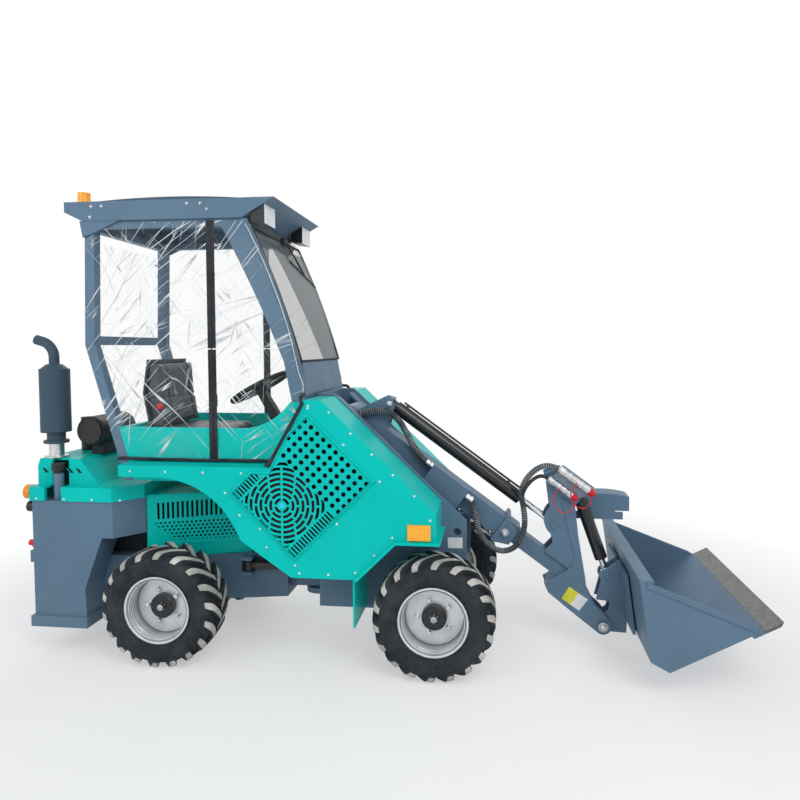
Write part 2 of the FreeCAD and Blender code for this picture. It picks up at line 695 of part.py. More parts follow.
def muffler():
    here = (muffler_x, muffler_y)
    can = rod("Can", "Z", (*here, muffler_low), muffler_high - muffler_low, muffler_radius)
    cone = doc.addObject("Part::Cone", "CanTop")
    bind(cone, "Radius1", muffler_radius - 6)
    bind(cone, "Radius2", stack_radius + 12)
    bind(cone, "Height", 24)
    put(cone, muffler_x, muffler_y, muffler_high)
    neck = rod("Neck", "Z", (*here, muffler_low - 45), 45, 44)
    clamp = rod("Clamp", "Z", (*here, muffler_low - 58), 14, 60)
    pipe = rod("Pipe", "Z", (*here, hood_top), muffler_low - 58 - hood_top, 36)
    foot = rod("Foot", "Z", (*here, hood_top), 8, 58)
    stub = rod("Stub", "Z", (*here, muffler_high + 20), 40, stack_radius)
    bend = doc.addObject("Part::Torus", "Bend")
    bind(bend, "Radius1", 85)
    bind(bend, "Radius2", stack_radius)
    bend.Angle3 = 74
    put(bend, muffler_x - 85, muffler_y, muffler_high + 60, (1, 0, 0), 90)
    tip = doc.addObject("Part::Cylinder", "Tip")
    bind(tip, "Radius", stack_radius)
    tip.Height = 36
    tip_hole = doc.addObject("Part::Cylinder", "TipHole")
    bind(tip_hole, "Radius", stack_radius - 4)
    tip_hole.Height = 60
    lean = as_size(74)
    for item in (tip, tip_hole):
        put(item, muffler_x - 85 + 85 * cosine(lean), muffler_y,
            muffler_high + 60 + 85 * sine(lean), (0, 1, 0), -lean)
    solid = joined("Muffler", can, cone, neck, clamp, pipe, foot, stub, bend, tip)
    node("muffler", cut("MufflerOpen", solid, tip_hole))


def air_cleaner():
    can = rod("CleanerCan", "Y", (cleaner_x, -255, cleaner_z), 290, cleaner_radius)
    lid = rod("CleanerLid", "Y", (cleaner_x, -270, cleaner_z), 20, cleaner_radius - 10)
    foot = block("CleanerFoot", (cleaner_x - 35, cleaner_x + 35), (-200, -20),
                 (hood_top, cleaner_z - 40))
    duct = rod("CleanerDuct", "X", (cleaner_x - 150, -60, cleaner_z + 20), 150, 34)
    elbow = rod("CleanerElbow", "Z", (cleaner_x - 150, -60, hood_top), cleaner_z + 54 - hood_top, 34)
    node("air_cleaner", joined("Cleaner", can, lid, foot, duct, elbow))


def tail_lamps():
    lens = rod("Lens", "X", (weight_back - 54, -380, 832), 46, 36)
    low = rod("LowLamp", "X", (weight_back - 40, -385, weight_top - 38), 40, 28)
    node("tail_lamps", pair("TailLamps", together("Lamps", lens, low)))


def rear_fittings():
    knob = rod("Knob", "X", (weight_back - 44, -385, 568), 44, 15)
    stem = rod("Switch", "X", (weight_back - 12, -385, 568), 12, 30)
    hook = block("Hook", (weight_back - 34, weight_back), (-400, -370), (470, 530))
    node("rear_fittings", together("Fittings", joined("Switch", knob, stem), hook))




def tow_jaw():
    back = block("JawPlate", (weight_back - 12, weight_back), (-70, 70), (380, 500))
    low = block("JawLow", (tow_x - 28, weight_back - 10), (-45, 45), (402, 418))
    high = block("JawHigh", (tow_x - 28, weight_back - 10), (-45, 45), (462, 478))
    bore = rod("JawBore", "Z", (tow_x, 0, 390), 100, tow_bore)
    node("tow_jaw", cut("JawBored", joined("Jaw", back, low, high), bore))


def rear_frame():
    rear_chassis()
    counterweight()
    engine_hood()
    engine_cover()
    engine_block()
    fuel_filler()
    muffler()
    air_cleaner()
    tail_lamps()
    rear_fittings()
    tow_jaw()
    axle("rear_axle", -axle_x, tongue_high - beam_wall)


# ---------------------------------------------------------------- front frame

def rim_z(x):
    """Height of the sloping top edge of the chassis plates at a place along X."""
    return rim_front_z + (chassis_front - x) * (tower_top - rim_front_z) / (chassis_front - tower_x)


def front_chassis():
    inner = chassis_y - plate
    side = slab("SidePlate", [
        (chassis_back, chassis_low), (chassis_front - 90, chassis_low),
        (chassis_front, chassis_low + 190), (chassis_front, rim_front_z),
        (tower_x, tower_top), (chassis_back, tower_top)], -chassis_y, -inner,
        holes=[(chassis_front - 48, rim_front_z - 58, 20)])
    side = cut("SideBored", side, axle_hole(axle_x))
    back = block("BackPlate", (chassis_back, chassis_back + plate), (-inner, inner),
                 (chassis_low, tower_top))
    floor = block("FloorPlate", (chassis_back + plate, chassis_front - 110), (-inner, inner),
                  (tyre_radius + 60, tyre_radius + 75))
    front = block("CrossPlate", (chassis_front - 125, chassis_front - 110), (-inner, inner),
                  (tyre_radius + 60, tyre_radius + 220))
    ear_low = tongue_low - tongue_gap - ear_thickness
    ear_high = tongue_high + tongue_gap
    ears = []
    for z in (ear_low, ear_high):
        ears.append(block("Ear", (0, chassis_back), (-ear_radius, ear_radius), (z, z + ear_thickness)))
        ears.append(rod("EarEnd", "Z", (0, 0, z), ear_thickness, ear_radius))
    mounts = [block("CabMount", (cab_front + fit, chassis_back), (-inner, inner), (z, z + 40))
              for z in (well_low + 20, hood_z - 80)]
    boss = rod("TowerBoss", "Y", (boom_x, -inner, boom_z), inner - boom_hub_y - 6, 45)
    cap = slab("TowerCap", [
        (tower_x, tower_top - 20), (tower_x + 330, rim_z(tower_x + 330) - 20),
        (tower_x + 322, rim_z(tower_x + 322) - 32), (tower_x - 4, tower_top - 34)],
        -inner, -boom_hub_y - 12)
    lift_ear = slab("LiftEar", [
        (lift_base_x - 38, tyre_radius + 75), (lift_base_x + 70, tyre_radius + 75),
        (lift_base_x + 30, lift_base_z + 10),
        (lift_base_x - 30, lift_base_z + 10, (lift_base_x, lift_base_z + 38))], -52, -36)
    lift_pin = cross_pin("LiftPin", lift_base_x, lift_base_z, 60, pin_radius)
    lug = together("SteerLugs", *[block(
        "SteerLug", (steer_eye_x - 28, chassis_back), (steer_eye_y - 26, steer_eye_y + 26),
        (steer_z + low, steer_z + low + 14)) for low in (-46, 32)])
    stub_low = rod("SteerStub", "Z", (steer_eye_x, steer_eye_y, steer_z - 52), 20, pin_radius)
    stub_high = rod("SteerStub", "Z", (steer_eye_x, steer_eye_y, steer_z + 32), 20, pin_radius)
    whole = joined("FrontChassis", side, mirrored("Side", side), back, floor, front, *ears,
                   *mounts, boss, mirrored("Boss", boss), cap, mirrored("Cap", cap),
                   lift_ear, mirrored("Ear", lift_ear), lift_pin, lug, stub_low, stub_high)
    pin_hole = rod("PinHole", "Z", (0, 0, ear_low - 5), ear_high + ear_thickness + 10 - ear_low,
                   pivot_radius + pin_play)
    boom_hole = cross_pin("BoomHole", boom_x, boom_z, chassis_y + 20, boom_pin + pin_play)
    window = block("EyeWindow", (chassis_back - 5, chassis_back + plate + 5),
                   (steer_eye_y - 70, steer_eye_y + 40), (steer_z - 30, steer_z + 30))
    node("front_chassis", cut("FrontChassisBored", whole, pin_hole, boom_hole, window))


def frame_pins():
    low = tongue_low - tongue_gap - ear_thickness
    high = tongue_high + tongue_gap + ear_thickness
    pivot = rod("PivotPin", "Z", (0, 0, low - 12), high - low + 24, pivot_radius)
    head = rod("PivotHead", "Z", (0, 0, high + fit), 12, pivot_radius + 14)
    boom = cross_pin("BoomPin", boom_x, boom_z, chassis_y + 16, boom_pin)
    end = rod("BoomPinHead", "Y", (boom_x, chassis_y + fit, boom_z), 14, boom_pin + 7)
    other = rod("BoomPinHead", "Y", (boom_x, -chassis_y - fit - 14, boom_z), 14, boom_pin + 7)
    node("frame_pins", together("Pins", joined("Pivot", pivot, head),
                                joined("Boom", boom, end, other)))


def panel_outline():
    """Side panel's outer face: fold, front edge, front arch, sill, rear arch and ledge."""
    low_x = rear_arch_x + rear_arch_radius * 0.945
    low_z = rear_arch_z - rear_arch_radius + rear_arch_radius * 0.327
    mid_x = rear_arch_x + rear_arch_radius * 0.64
    mid_z = rear_arch_z - rear_arch_radius + rear_arch_radius * 0.7684
    return [
        (hood_x, hood_z), (slope_x, slope_z), (slope_x, arch_z), (arch_x, arch_z),
        (sill_x, sill_z), (0, sill_z), (low_x, low_z),
        (rear_arch_x, rear_arch_z, (mid_x, mid_z)), (ledge_back, rear_arch_z + 2),
        (ledge_back, ledge_z), (diag_low_x, ledge_z), (diag_high_x, hood_z)]






def grille_outline():
    """The tilted square grille of a side panel, clipped by the cover's slanting edge."""
    clip_z, ledge = ledge_z + 158, ledge_z - 14
    low_x, high_x = grille_x + grille_fall, grille_x + grille_climb
    return [(grille_x, grille_z), (low_x, grille_z - grille_fall),
            (low_x + grille_climb, grille_z - grille_fall + grille_climb),
            (high_x, grille_z + grille_climb), (grille_x + clip_z - grille_z, clip_z),
            (diag_low_x + 12, ledge), (grille_x + ledge - grille_z, ledge)]


def shrunk(corners, middle_x, middle_z, factor):
    """The same outline, smaller about a middle point."""
    return [(middle_x + (x - middle_x) * factor, middle_z + (z - middle_z) * factor)
            for x, z in corners]


def front_panel():
    """One side of the front body, with its skin folded in over the top and the front arch."""
    skin = sheet_metal
    gap_y = chassis_y + fit
    face = slab("Face", panel_outline(), -body_y, skin - body_y)
    window = slab("GrilleWindow", shrunk(grille_outline(), 50, 900, 0.92), -body_y - 5, skin - body_y + 5)
    face = cut("FaceWindow", face, window)
    top = slab("TopSkin", [
        (hood_x, hood_z), (slope_x, slope_z), (slope_x, arch_z), (slope_x - skin, arch_z),
        (slope_x - skin, slope_z - 5), (hood_x - 5, hood_z - skin - 5), (diag_high_x, hood_z - skin - 5),
        (diag_high_x, hood_z)], -body_y, -gap_y)
    arch = slab("ArchSkin", [
        (slope_x + 20, arch_z), (arch_x, arch_z), (sill_x, sill_z), (sill_x - 14, sill_z + 8),
        (arch_x - 6, arch_z + skin), (slope_x + 20, arch_z + skin)], -body_y - lip_width, -gap_y)
    ledge = block("Ledge", (ledge_back, diag_low_x), (-body_y, -cab_y - fit),
                  (ledge_z - skin, ledge_z))
    ledge_end = block("LedgeEnd", (ledge_back, ledge_back + skin), (-body_y, -cab_y - fit),
                      (rear_arch_z + 2, ledge_z))
    slant = slab("Slant", [
        (diag_low_x, ledge_z), (diag_high_x, hood_z), (diag_high_x + 14, hood_z),
        (diag_low_x + 12, ledge_z - skin), (diag_low_x, ledge_z - skin)], -body_y, -cab_y - fit)
    return joined("FrontPanel", face, top, arch, ledge, ledge_end, slant)


def front_panels():
    right = front_panel()
    node("front_panel_right", right)
    node("front_panel_left", mirrored("LeftPanel", right))
    grille = slab("Grille", grille_outline(), -body_y - grille_rise, -body_y - fit)
    node("grilles", pair("Grilles", grille))


def mud_flaps():
    flap = block("Flap", (flap_x - 8, flap_x), (-body_y - 10, -chassis_y - fit), (flap_z, sill_z - fit))
    node("mud_flaps", pair("Flaps", flap))


def rear_head_edge(z):
    """Outer edge of the rear post above its bend, at a height."""
    return rear_knee_x + (rear_head_x - rear_knee_x) * (z - rear_knee_z) / (roof_low - rear_knee_z)


def rear_post_x(z):
    """Outer edge of the rear post below its bend, at a height."""
    return rear_foot_x + (rear_knee_x - rear_foot_x) * (z - tub_low) / (rear_knee_z - tub_low)


def cab_tub():
    back = rear_post_x(tub_low) + post + fit
    back_high = rear_post_x(tub_high) + post + fit
    outer = slab("Tub", [
        (back, tub_low), (back_high, tub_high), (-330, tub_high), (-40, hood_z - 20, (-150, tub_high + 35)),
        (cab_front, hood_z - 20), (cab_front, tub_low)], -cab_y, cab_y)
    room = slab("TubRoom", [
        (back + tub_wall, tub_low + tub_wall), (back_high + tub_wall - 40, hood_z + 60),
        (cab_front - tub_wall, hood_z + 60), (cab_front - tub_wall, tub_low + tub_wall)],
        tub_wall - cab_y, cab_y - tub_wall)
    well = block("Well", (well_x, cab_front), (-well_y, well_y), (well_low, tub_low + 5))
    well_room = block("WellRoom", (well_x + tub_wall, cab_front - tub_wall),
                      (tub_wall - well_y, well_y - tub_wall), (well_low + tub_wall, tub_low + 40))
    seat_box = block("SeatBox", (-850, -450), (-210, 210), (tub_low + tub_wall, 1050))
    shell = cut("TubShell", joined("TubSolid", outer, well), room, well_room)
    node("cab_tub", joined("CabTub", shell, seat_box))


def cab_frame():
    """Rear and front posts, the bars across, and the cowl under the windscreen."""
    skin = post
    rear = slab("RearPost", [
        (rear_post_x(tub_low), tub_low), (rear_knee_x, rear_knee_z), (rear_head_x, roof_low),
        (rear_head_x + skin, roof_low), (rear_knee_x + skin, rear_knee_z),
        (rear_post_x(tub_low) + skin, tub_low)], -cab_y, post - cab_y)
    front = slab("FrontPost", [
        (pane_top_x - glass, roof_low),
        (pane_low_x - glass, pane_low_z, (pane_mid_x - glass, pane_mid_z)),
        (cab_front, cowl_low_z), (cab_front, hood_z - 20 + fit), (cab_front - 70, hood_z - 20 + fit),
        (pane_low_x - 85, pane_low_z),
        (pane_top_x - 150, roof_low, (pane_mid_x - 130, pane_mid_z))], -cab_y, 28 - cab_y)
    bar_y = cab_y - post
    bars = [
        block("RearBar", (rear_knee_x + 5, rear_knee_x + post - 5), (-bar_y, bar_y),
              (rear_knee_z, rear_knee_z + 45)),
        block("RearTopBar", (rear_head_x, rear_head_x + post), (-bar_y, bar_y),
              (roof_low - 45, roof_low)),
        block("FrontTopBar", (pane_top_x - 60, pane_top_x - 15), (-cab_y + 20, cab_y - 20),
              (roof_low - 40, roof_low))]
    rail = block("SideRail", (rear_head_x + 20, pane_top_x - 90), (-cab_y, 40 - cab_y),
                 (roof_low - 35, roof_low))
    cowl = slab("Cowl", [
        (cab_front, hood_z - 20 + fit), (cab_front, cowl_low_z), (pane_low_x, pane_low_z),
        (pane_low_x - 14, pane_low_z), (cab_front - 14, cowl_low_z),
        (cab_front - 14, hood_z - 20 + fit)], -cab_y + 28, cab_y - 28)
    node("cab_frame", joined("CabFrame", rear, mirrored("Rear", rear), front,
                             mirrored("Front", front), rail, mirrored("Rail", rail), cowl, *bars))


def roof():
    wall = 30
    shell = slab("RoofShell", [
        (roof_back, roof_high), (roof_front, roof_high), (pane_top_x + 10, roof_low + 18),
        (pane_top_x - 20, roof_low), (rear_head_x - 5, roof_low), (roof_back, roof_high - 50)],
        -roof_y, roof_y)
    room = block("RoofRoom", (rear_head_x + 30, pane_top_x - 90), (wall - roof_y, roof_y - wall),
                 (roof_low - 10, roof_high - 30))
    gusset = slab("Gusset", [
        (rear_head_x - 20, roof_low + fit), (rear_head_x + 190, roof_low + fit),
        (rear_head_x + 45, roof_low - 62), (rear_head_x - 5, roof_low - 80)],
        -cab_y - 12, -cab_y - fit)
    gussets = (gusset, mirrored("Gusset", gusset))
    node("roof", joined("Roof", cut("RoofHollow", shell, room), *gussets))


def roof_dome():
    half = (roof_front - roof_back) / 2 - 6
    radius = (half * half + dome_rise * dome_rise) / (2 * dome_rise)
    middle = (roof_front + roof_back) / 2
    ball = doc.addObject("Part::Sphere", "DomeBall")
    bind(ball, "Radius", radius)
    put(ball, middle, 0, roof_high + dome_rise - radius)
    box = block("DomeBox", (middle - half, middle + half), (6 - roof_y, roof_y - 6),
                (roof_high, roof_high + dome_rise + 5))
    cap = doc.addObject("Part::MultiCommon", "Dome")
    cap.Shapes = [ball, box]
    node("roof_dome", cap)


def windscreen():
    side = cab_y - 2
    pane = slab("Pane", [
        (pane_top_x, roof_low - fit), (pane_low_x, pane_low_z, (pane_mid_x, pane_mid_z)),
        (pane_low_x - glass + fit, pane_low_z + fit),
        (pane_top_x - glass + fit, roof_low - fit, (pane_mid_x - glass + fit, pane_mid_z))], -side, side)
    node("windscreen", pane)


def cab_covers():
    """The clear side covers and the clear rear cover."""
    head = rear_head_edge(roof_low - 84)
    side = slab("SideCover", [
        (head - 4, roof_low - 84), (rear_knee_x - 4, rear_knee_z),
        (rear_post_x(ledge_z) - 4, ledge_z + fit), (diag_low_x - 2, ledge_z + fit),
        (diag_high_x - 20, hood_z - 20), (cab_front, hood_z + 20), (cab_front, cowl_low_z),
        (pane_low_x - 12, pane_low_z),
        (pane_top_x - 12, roof_low - fit, (pane_mid_x - 12, pane_mid_z)),
        (rear_head_x + 195, roof_low - fit), (rear_head_x + 50, roof_low - 68)],
        -cab_y - fit - cover, -cab_y - fit)
    back = slab("BackCover", [
        (head - 4, roof_low - 84), (rear_knee_x - 4, rear_knee_z),
        (rear_post_x(tub_high - 120) - 4, tub_high - 120),
        (rear_post_x(tub_high - 120) - fit, tub_high - 120),
        (rear_knee_x - fit, rear_knee_z), (head - fit, roof_low - 84)], -cab_y, cab_y)
    node("cab_covers", together("Covers", side, mirrored("Side", side), back))


def seat():
    cushion = block("Cushion", (-850, -430), (-230, 230), (1050 + fit, 1145))
    back = slab("SeatBack", [
        (-848, 1145 + fit), (-760, 1145 + fit), (-800, 1330), (-812, 1500), (-870, 1505),
        (-895, 1330)], -215, 215)
    node("seat", together("Seat", cushion, back))


def steering():
    column = slab("Column", [
        (-130, tub_low + tub_wall + 20), (-60, tub_low + tub_wall + 20), (-300, 1330), (-345, 1330)],
        -30, 30)
    foot = block("ColumnFoot", (-150, -25), (-60, 60), (well_low + tub_wall, tub_low + tub_wall + 25))
    ring = doc.addObject("Part::Torus", "Wheel")
    ring.Radius1 = 165
    ring.Radius2 = 13
    hub = doc.addObject("Part::Cylinder", "WheelHub")
    hub.Radius = 34
    hub.Height = 40
    hub.Placement = Placement(Vector(0, 0, -28), Rotation())
    spokes = [block("Spoke", (-160, 160), (-12, 12), (-5, 5)),
              block("Spoke", (-12, 12), (-160, 0), (-5, 5))]
    wheel = put(joined("SteeringWheel", ring, hub, *spokes), -330, 0, 1352, (0, 1, 0), -29)
    node("steering_column", joined("Steering", column, foot, wheel))


def control_console():
    box = block("Console", (-760, -420), (-330, -240), (tub_low + tub_wall, 1160))
    lever = rod("Lever", "Z", (-470, -285, 1160), 130, 9)
    grip = rod("Grip", "Z", (-470, -285, 1270), 60, 20)
    node("control_console", joined("Controls", box, lever, grip))




def visor_z(x):
    """Height of the roof's slanting underside in front of the windscreen."""
    slope = (roof_high - roof_low - 18) / (roof_front - pane_top_x - 10)
    return roof_high - (roof_front - x) * slope


def lamps():
    lamp = slab("Lamp", [
        (lamp_x, roof_low - 29), (lamp_x, visor_z(lamp_x) - fit), (lamp_x - 68, visor_z(lamp_x - 68) - fit),
        (lamp_x - 68, roof_low - 20)], -375, -225)
    node("work_lamps", pair("WorkLamps", lamp))
    side = block("SideLamp", (558, 666), (-body_y - 12, -body_y), (arch_z + 18, arch_z + 90))
    node("side_lamps", pair("SideLamps", side))
    base = rod("BeaconBase", "Z", (-1132, -300, roof_high + fit), 14, 38)
    light = rod("BeaconLight", "Z", (-1132, -300, roof_high + 14), 48, 32)
    node("beacon", joined("Beacon", base, light))


def oil_cooler():
    fan = rod("Fan", "Y", (-38, -body_y + sheet_metal + 4, 825), 24, 165)
    hub = rod("FanHub", "Y", (-38, -body_y + sheet_metal, 825), 40, 26)
    arm = block("FanArm", (-38, 52), (-body_y + sheet_metal + 28, -body_y + sheet_metal + 40), (812, 838))
    core = block("Core", (52, 92), (-body_y + sheet_metal + 20, -chassis_y - fit), (640, 940))
    node("oil_cooler", joined("Cooler", fan, hub, arm, core))


def front_frame():
    front_chassis()
    frame_pins()
    axle("front_axle", axle_x, tyre_radius + 60)
    front_panels()
    mud_flaps()
    cab_tub()
    cab_frame()
    roof()
    roof_dome()
    windscreen()
    cab_covers()
    seat()
    steering()
    control_console()
    lamps()
    oil_cooler()


# ---------------------------------------------------------------- boom and bucket

def outer_boom():
    side = boom_y
    box = slab("BoomBox", [
        (0, -boom_hub), (150, -boom_under), (boom_end, -boom_under), (boom_end, boom_over),
        (150, boom_over), (0, boom_hub)], -side, side)
    hub = cross_pin("BoomHub", 0, 0, boom_hub_y, boom_hub)
    ear = slab("TeleEar", [
        (20, boom_over - 5), (95, tele_n + 18), (tele_s, tele_n + 34), (tele_s + 34, tele_n),
        (tele_s + 70, boom_over - 5)], -50, -38)
    tele_pin = cross_pin("TelePin", tele_s, tele_n, 56, pin_radius)
    collar = block("Collar", (boom_end - 93, boom_end - 75), (-side - 22, side + 22),
                   (-boom_under - 30, boom_over + 22))
    cheek = slab("Cheek", [
        (boom_end - 75, boom_over), (boom_end, boom_over - 20), (boom_end, -boom_under + 5),
        (boom_end - 75, -boom_under - 30)], -side - 14, -side)
    boss = cross_pin("FrontBoss", boom_end - 55, -13, side + 20, 30)
    lug = slab("LiftLug", [
        (lift_s - 60, -boom_under + 5), (lift_s + 60, -boom_under + 5), (lift_s + 28, lift_n - 14),
        (lift_s - 28, lift_n - 14, (lift_s, lift_n - 32))], -50, -36)
    stub = rod("LiftStub", "Y", (lift_s, -58, lift_n), 22, pin_radius)
    whole = joined("OuterBoom", box, hub, ear, mirrored("Ear", ear), tele_pin, collar, cheek,
                   mirrored("Cheek", cheek), boss, lug, mirrored("Lug", lug),
                   stub, mirrored("Stub", stub))
    wall = boom_wall
    room = block("BoomRoom", (inner_back - 30, boom_end - 60), (wall - side, side - wall),
                 (wall - boom_under, boom_over - wall))
    mouth = block("BoomMouth", (boom_end - 65, boom_end + 5),
                  (wall + slide_gap - fit - side, side - wall - slide_gap + fit),
                  (wall + slide_gap - fit - boom_under, boom_over - wall - slide_gap + fit))
    slot = block("LiftSlot", (lift_s - 75, lift_s + 75), (-35, 35), (-boom_under - 5, -boom_under + 35))
    bore = cross_pin("BoomBore", 0, 0, boom_hub_y + 5, boom_pin + pin_play)
    node("outer_boom", with_boom(cut("OuterBoomBored", whole, room, mouth, slot, bore)))


def hose_guard():
    guard = slab("HoseGuard", [
        (guard_back, 60), (guard_back, -85), (guard_front, -85), (guard_front, 60)],
                 -boom_y - 58, -boom_y - fit)
    node("hose_guard", with_boom(guard))


def hose(label, route, radius):
    """A hose along straight runs joined by tangent arcs, drawn as (s, y, n) corners by the boom."""
    corners = [Vector(*(as_size(value).value for value in corner)) for corner in route]
    edges, last = [], corners[0]
    for before, corner, after in zip(corners, corners[1:], corners[2:]):
        back, ahead = before - corner, after - corner
        turn = math.pi - back.getAngle(ahead)
        trim = 0.45 * min(back.Length, ahead.Length)
        start = corner + back.normalize() * trim
        end = corner + ahead.normalize() * trim
        bend = trim / math.tan(turn / 2)
        print("%s bends at radius %.0f mm" % (label, bend))
        inward = (start + end) / 2 - corner
        centre = corner + inward.normalize() * (bend / math.cos(turn / 2))
        middle = centre + (corner - centre).normalize() * bend
        edges += [Part.LineSegment(last, start).toShape(), Part.Arc(start, middle, end).toShape()]
        last = end
    edges.append(Part.LineSegment(last, corners[-1]).toShape())
    ring = Part.Wire(Part.Circle(corners[0], corners[1] - corners[0], as_size(radius).value).toShape())
    tube = doc.addObject("Part::Feature", unique("Hose"))
    tube.Shape = Part.Wire(edges).makePipeShell([ring], True, False)
    node(label, with_boom(tube))


def boom_hose():
    """From the boom's hub over to the guard on its side."""
    y = -84
    hose("boom_hose", [
        (37.9, y, 34.3), (69, y, 64), (105, y, 108), (165, y, 140), (240, y, 132), (312, y, 96),
        (384, y, 64), (440, y, 42), (515.7, y, 42)], hose_radius + 2)


def coupler_hose():
    """From the guard in a hanging loop up to the upper coupler."""
    y = -99
    hose("coupler_hose", [
        (742.4, y, 24), (784, y, 24), (822, y - 1, -4), (862, y - 3, -46), (914, y - 5, -88),
        (990, y - 6, -114), (1066, y - 5, -101), (1108, y - 3, -44), (1104, y, 27), (1077, y, 90),
        (1029, y, 146), (975, y, 194), (944, y + 2, 248), (942, y + 5, 312), (958, y + 9, 372),
        (994, y + 12, 412), (1041, y + 14, 423)], hose_radius)


def inner_boom():
    grow = boom_wall + slide_gap
    side, top, low = boom_y - grow, boom_over - grow, boom_under - grow
    outer = side + nose_plate
    box = block("InnerBox", (inner_back, nose_s - 230), (-side, side), (-low, top))
    room = block("InnerRoom", (inner_back - 5, nose_s - 250), (inner_wall - side, side - inner_wall),
                 (inner_wall - low, top - inner_wall))
    shell = cut("InnerShell", box, room)
    nose = slab("Nose", [
        (mast_s - 41, mast_n - 84), (mast_s + 88, mast_n - 197), (nose_s - 333, top + 70),
        (nose_s - 316, top + 3), (nose_s - 374, nose_n - 4), (nose_s - 329, nose_n - 30),
        (nose_s - 183, nose_n - 38), (nose_s, nose_n - 44),
        (nose_s + 18, nose_n + 40, (nose_s + 44, nose_n - 2)), (nose_s - 51, nose_n + 60),
        (nose_s - 105, nose_n + 65), (nose_s - 188, nose_n + 108), (nose_s - 223, top + 9),
        (nose_s - 383, mast_n - 191), (mast_s + 41, mast_n - 74)], -outer - doubler, -side)
    mast = slab("Mast", [
        (mast_s + 60, top - 6), (nose_s - 316, top - 6), (nose_s - 333, top + 80),
        (mast_s + 95, mast_n - 190), (mast_s + 41, mast_n - 80), (mast_s + 44, mast_n + 15),
        (mast_s, mast_n + 44), (mast_s - 130, mast_n + 38), (mast_s - 162, mast_n + 5),
        (mast_s - 184, mast_n - 35), (mast_s - 142, mast_n - 68), (mast_s - 54, mast_n - 160),
        (tele_eye + 17, tele_n - 45, (tele_eye - 32, tele_n - 30)), (tele_eye + 53, tele_n - 77)],
                -outer, -side)
    foot = block("MastFoot", (mast_s + 80, nose_s - 330), (-outer, outer), (top - 6, top + 8))
    belly = block("NoseBelly", (nose_s - 366, nose_s - 220), (-side, side), (nose_n - 8, -low + 1))
    mast_pin = cross_pin("MastPin", mast_s, mast_n, outer, pin_radius)
    tele_pin = cross_pin("TelePin", tele_eye, tele_n, outer + 8, pin_radius)
    brace = block("MastBrace", (mast_s - 130, mast_s - 80), (-side - 2, side + 2),
                  (mast_n - 10, mast_n + 2))
    whole = joined("InnerBoom", shell, nose, mirrored("Nose", nose), mast,
                   mirrored("Mast", mast), foot, belly, mast_pin, tele_pin, brace)
    bore = cross_pin("NoseBore", nose_s, nose_n, outer + doubler + 5, nose_pin + pin_play)
    node("inner_boom", with_boom(cut("InnerBoomBored", whole, bore)))


def couplers():
    """The auxiliary hydraulic couplers on their bracket, and the box on the mast's other side."""
    outer = boom_y - boom_wall - slide_gap + nose_plate + fit
    near = -outer - 26.7
    bracket = slab("CouplerBracket", [
        (mast_s - 150, mast_n - 55), (mast_s - 5, mast_n - 62), (mast_s + 60, mast_n + 5),
        (mast_s + 60, mast_n + 62), (mast_s - 135, mast_n + 62)], -outer - 10, -outer)
    low = rod("Coupler", "X", (mast_s - 160, near, mast_n - 38), 150, 17)
    high = rod("Coupler", "X", (mast_s - 145, near, mast_n + 34), 190, 19)
    on_line = with_boom(joined("CouplerSet", bracket, low, high))
    far = outer + doubler
    arm = block("BoxArm", (box_x - 130, box_x + 190), (far, far + 9), (box_z - 30, box_z + 10))
    tray = block("BoxTray", (box_x + 20, box_x + 150), (far, 190), (box_z - 30, box_z + 15))
    case = slab("Box", [
        (box_x - 40, box_z + 14), (box_x + 224, box_z + 14), (box_x + 224, box_z + 90),
        (box_x - 36, box_z + 90, (box_x + 95, box_z + 106))], far + 9, 200)
    node("coupler_box", joined("CouplerBox", arm, tray, case))
    node("hydraulic_couplers", on_line)


def back_x(z, off):
    """A place behind the bucket's back, at a height and a distance along X."""
    slope = (back_low_x - back_top_x) / (back_top_z - back_low_z)
    return back_top_x + (back_top_z - z) * slope - off


def quick_coupler():
    x, z = on_boom(nose_s, nose_n)
    eye_x, eye_z = on_boom(tilt_s, tilt_n)
    low, high = back_low_z + 2, back_top_z - 75
    inner_y = boom_y - boom_wall - slide_gap
    cheek = slab("CouplerCheek", [
        (back_x(low, 8), low), (back_x(high, 8), high), (eye_x - 10, eye_z + 34),
        (eye_x - 32, eye_z - 26, (eye_x - 40, eye_z + 6)), (x - 34, z + 133), (x + 37, z + 126),
        (x + 28, z + 77), (x - 14, z + 42), (x + 39, z - 34, (x - 27, z - 35)),
        (back_low_x - 14, z - 38)], 2 - inner_y, 12 - inner_y)
    face = slab("CouplerFace", [
        (back_x(low, 8), low), (back_x(high, 8), high), (back_x(high, 22), high),
        (back_x(low, 22), low)], -250, 250)
    stub = rod("TiltStub", "Y", (eye_x, -inner_y - 6, eye_z), 18, pin_radius)
    pin = cross_pin("NosePin", x, z, inner_y + nose_plate + doubler + 8, nose_pin)
    whole = joined("Coupler", cheek, mirrored("Cheek", cheek), face,
                   stub, mirrored("Stub", stub), pin)
    slot = block("EyeSlot", (eye_x + 12, back_x(low, -1)), (-31, 31), (eye_z - 85, high + 5))
    node("quick_coupler", cut("CouplerSlotted", whole, slot))


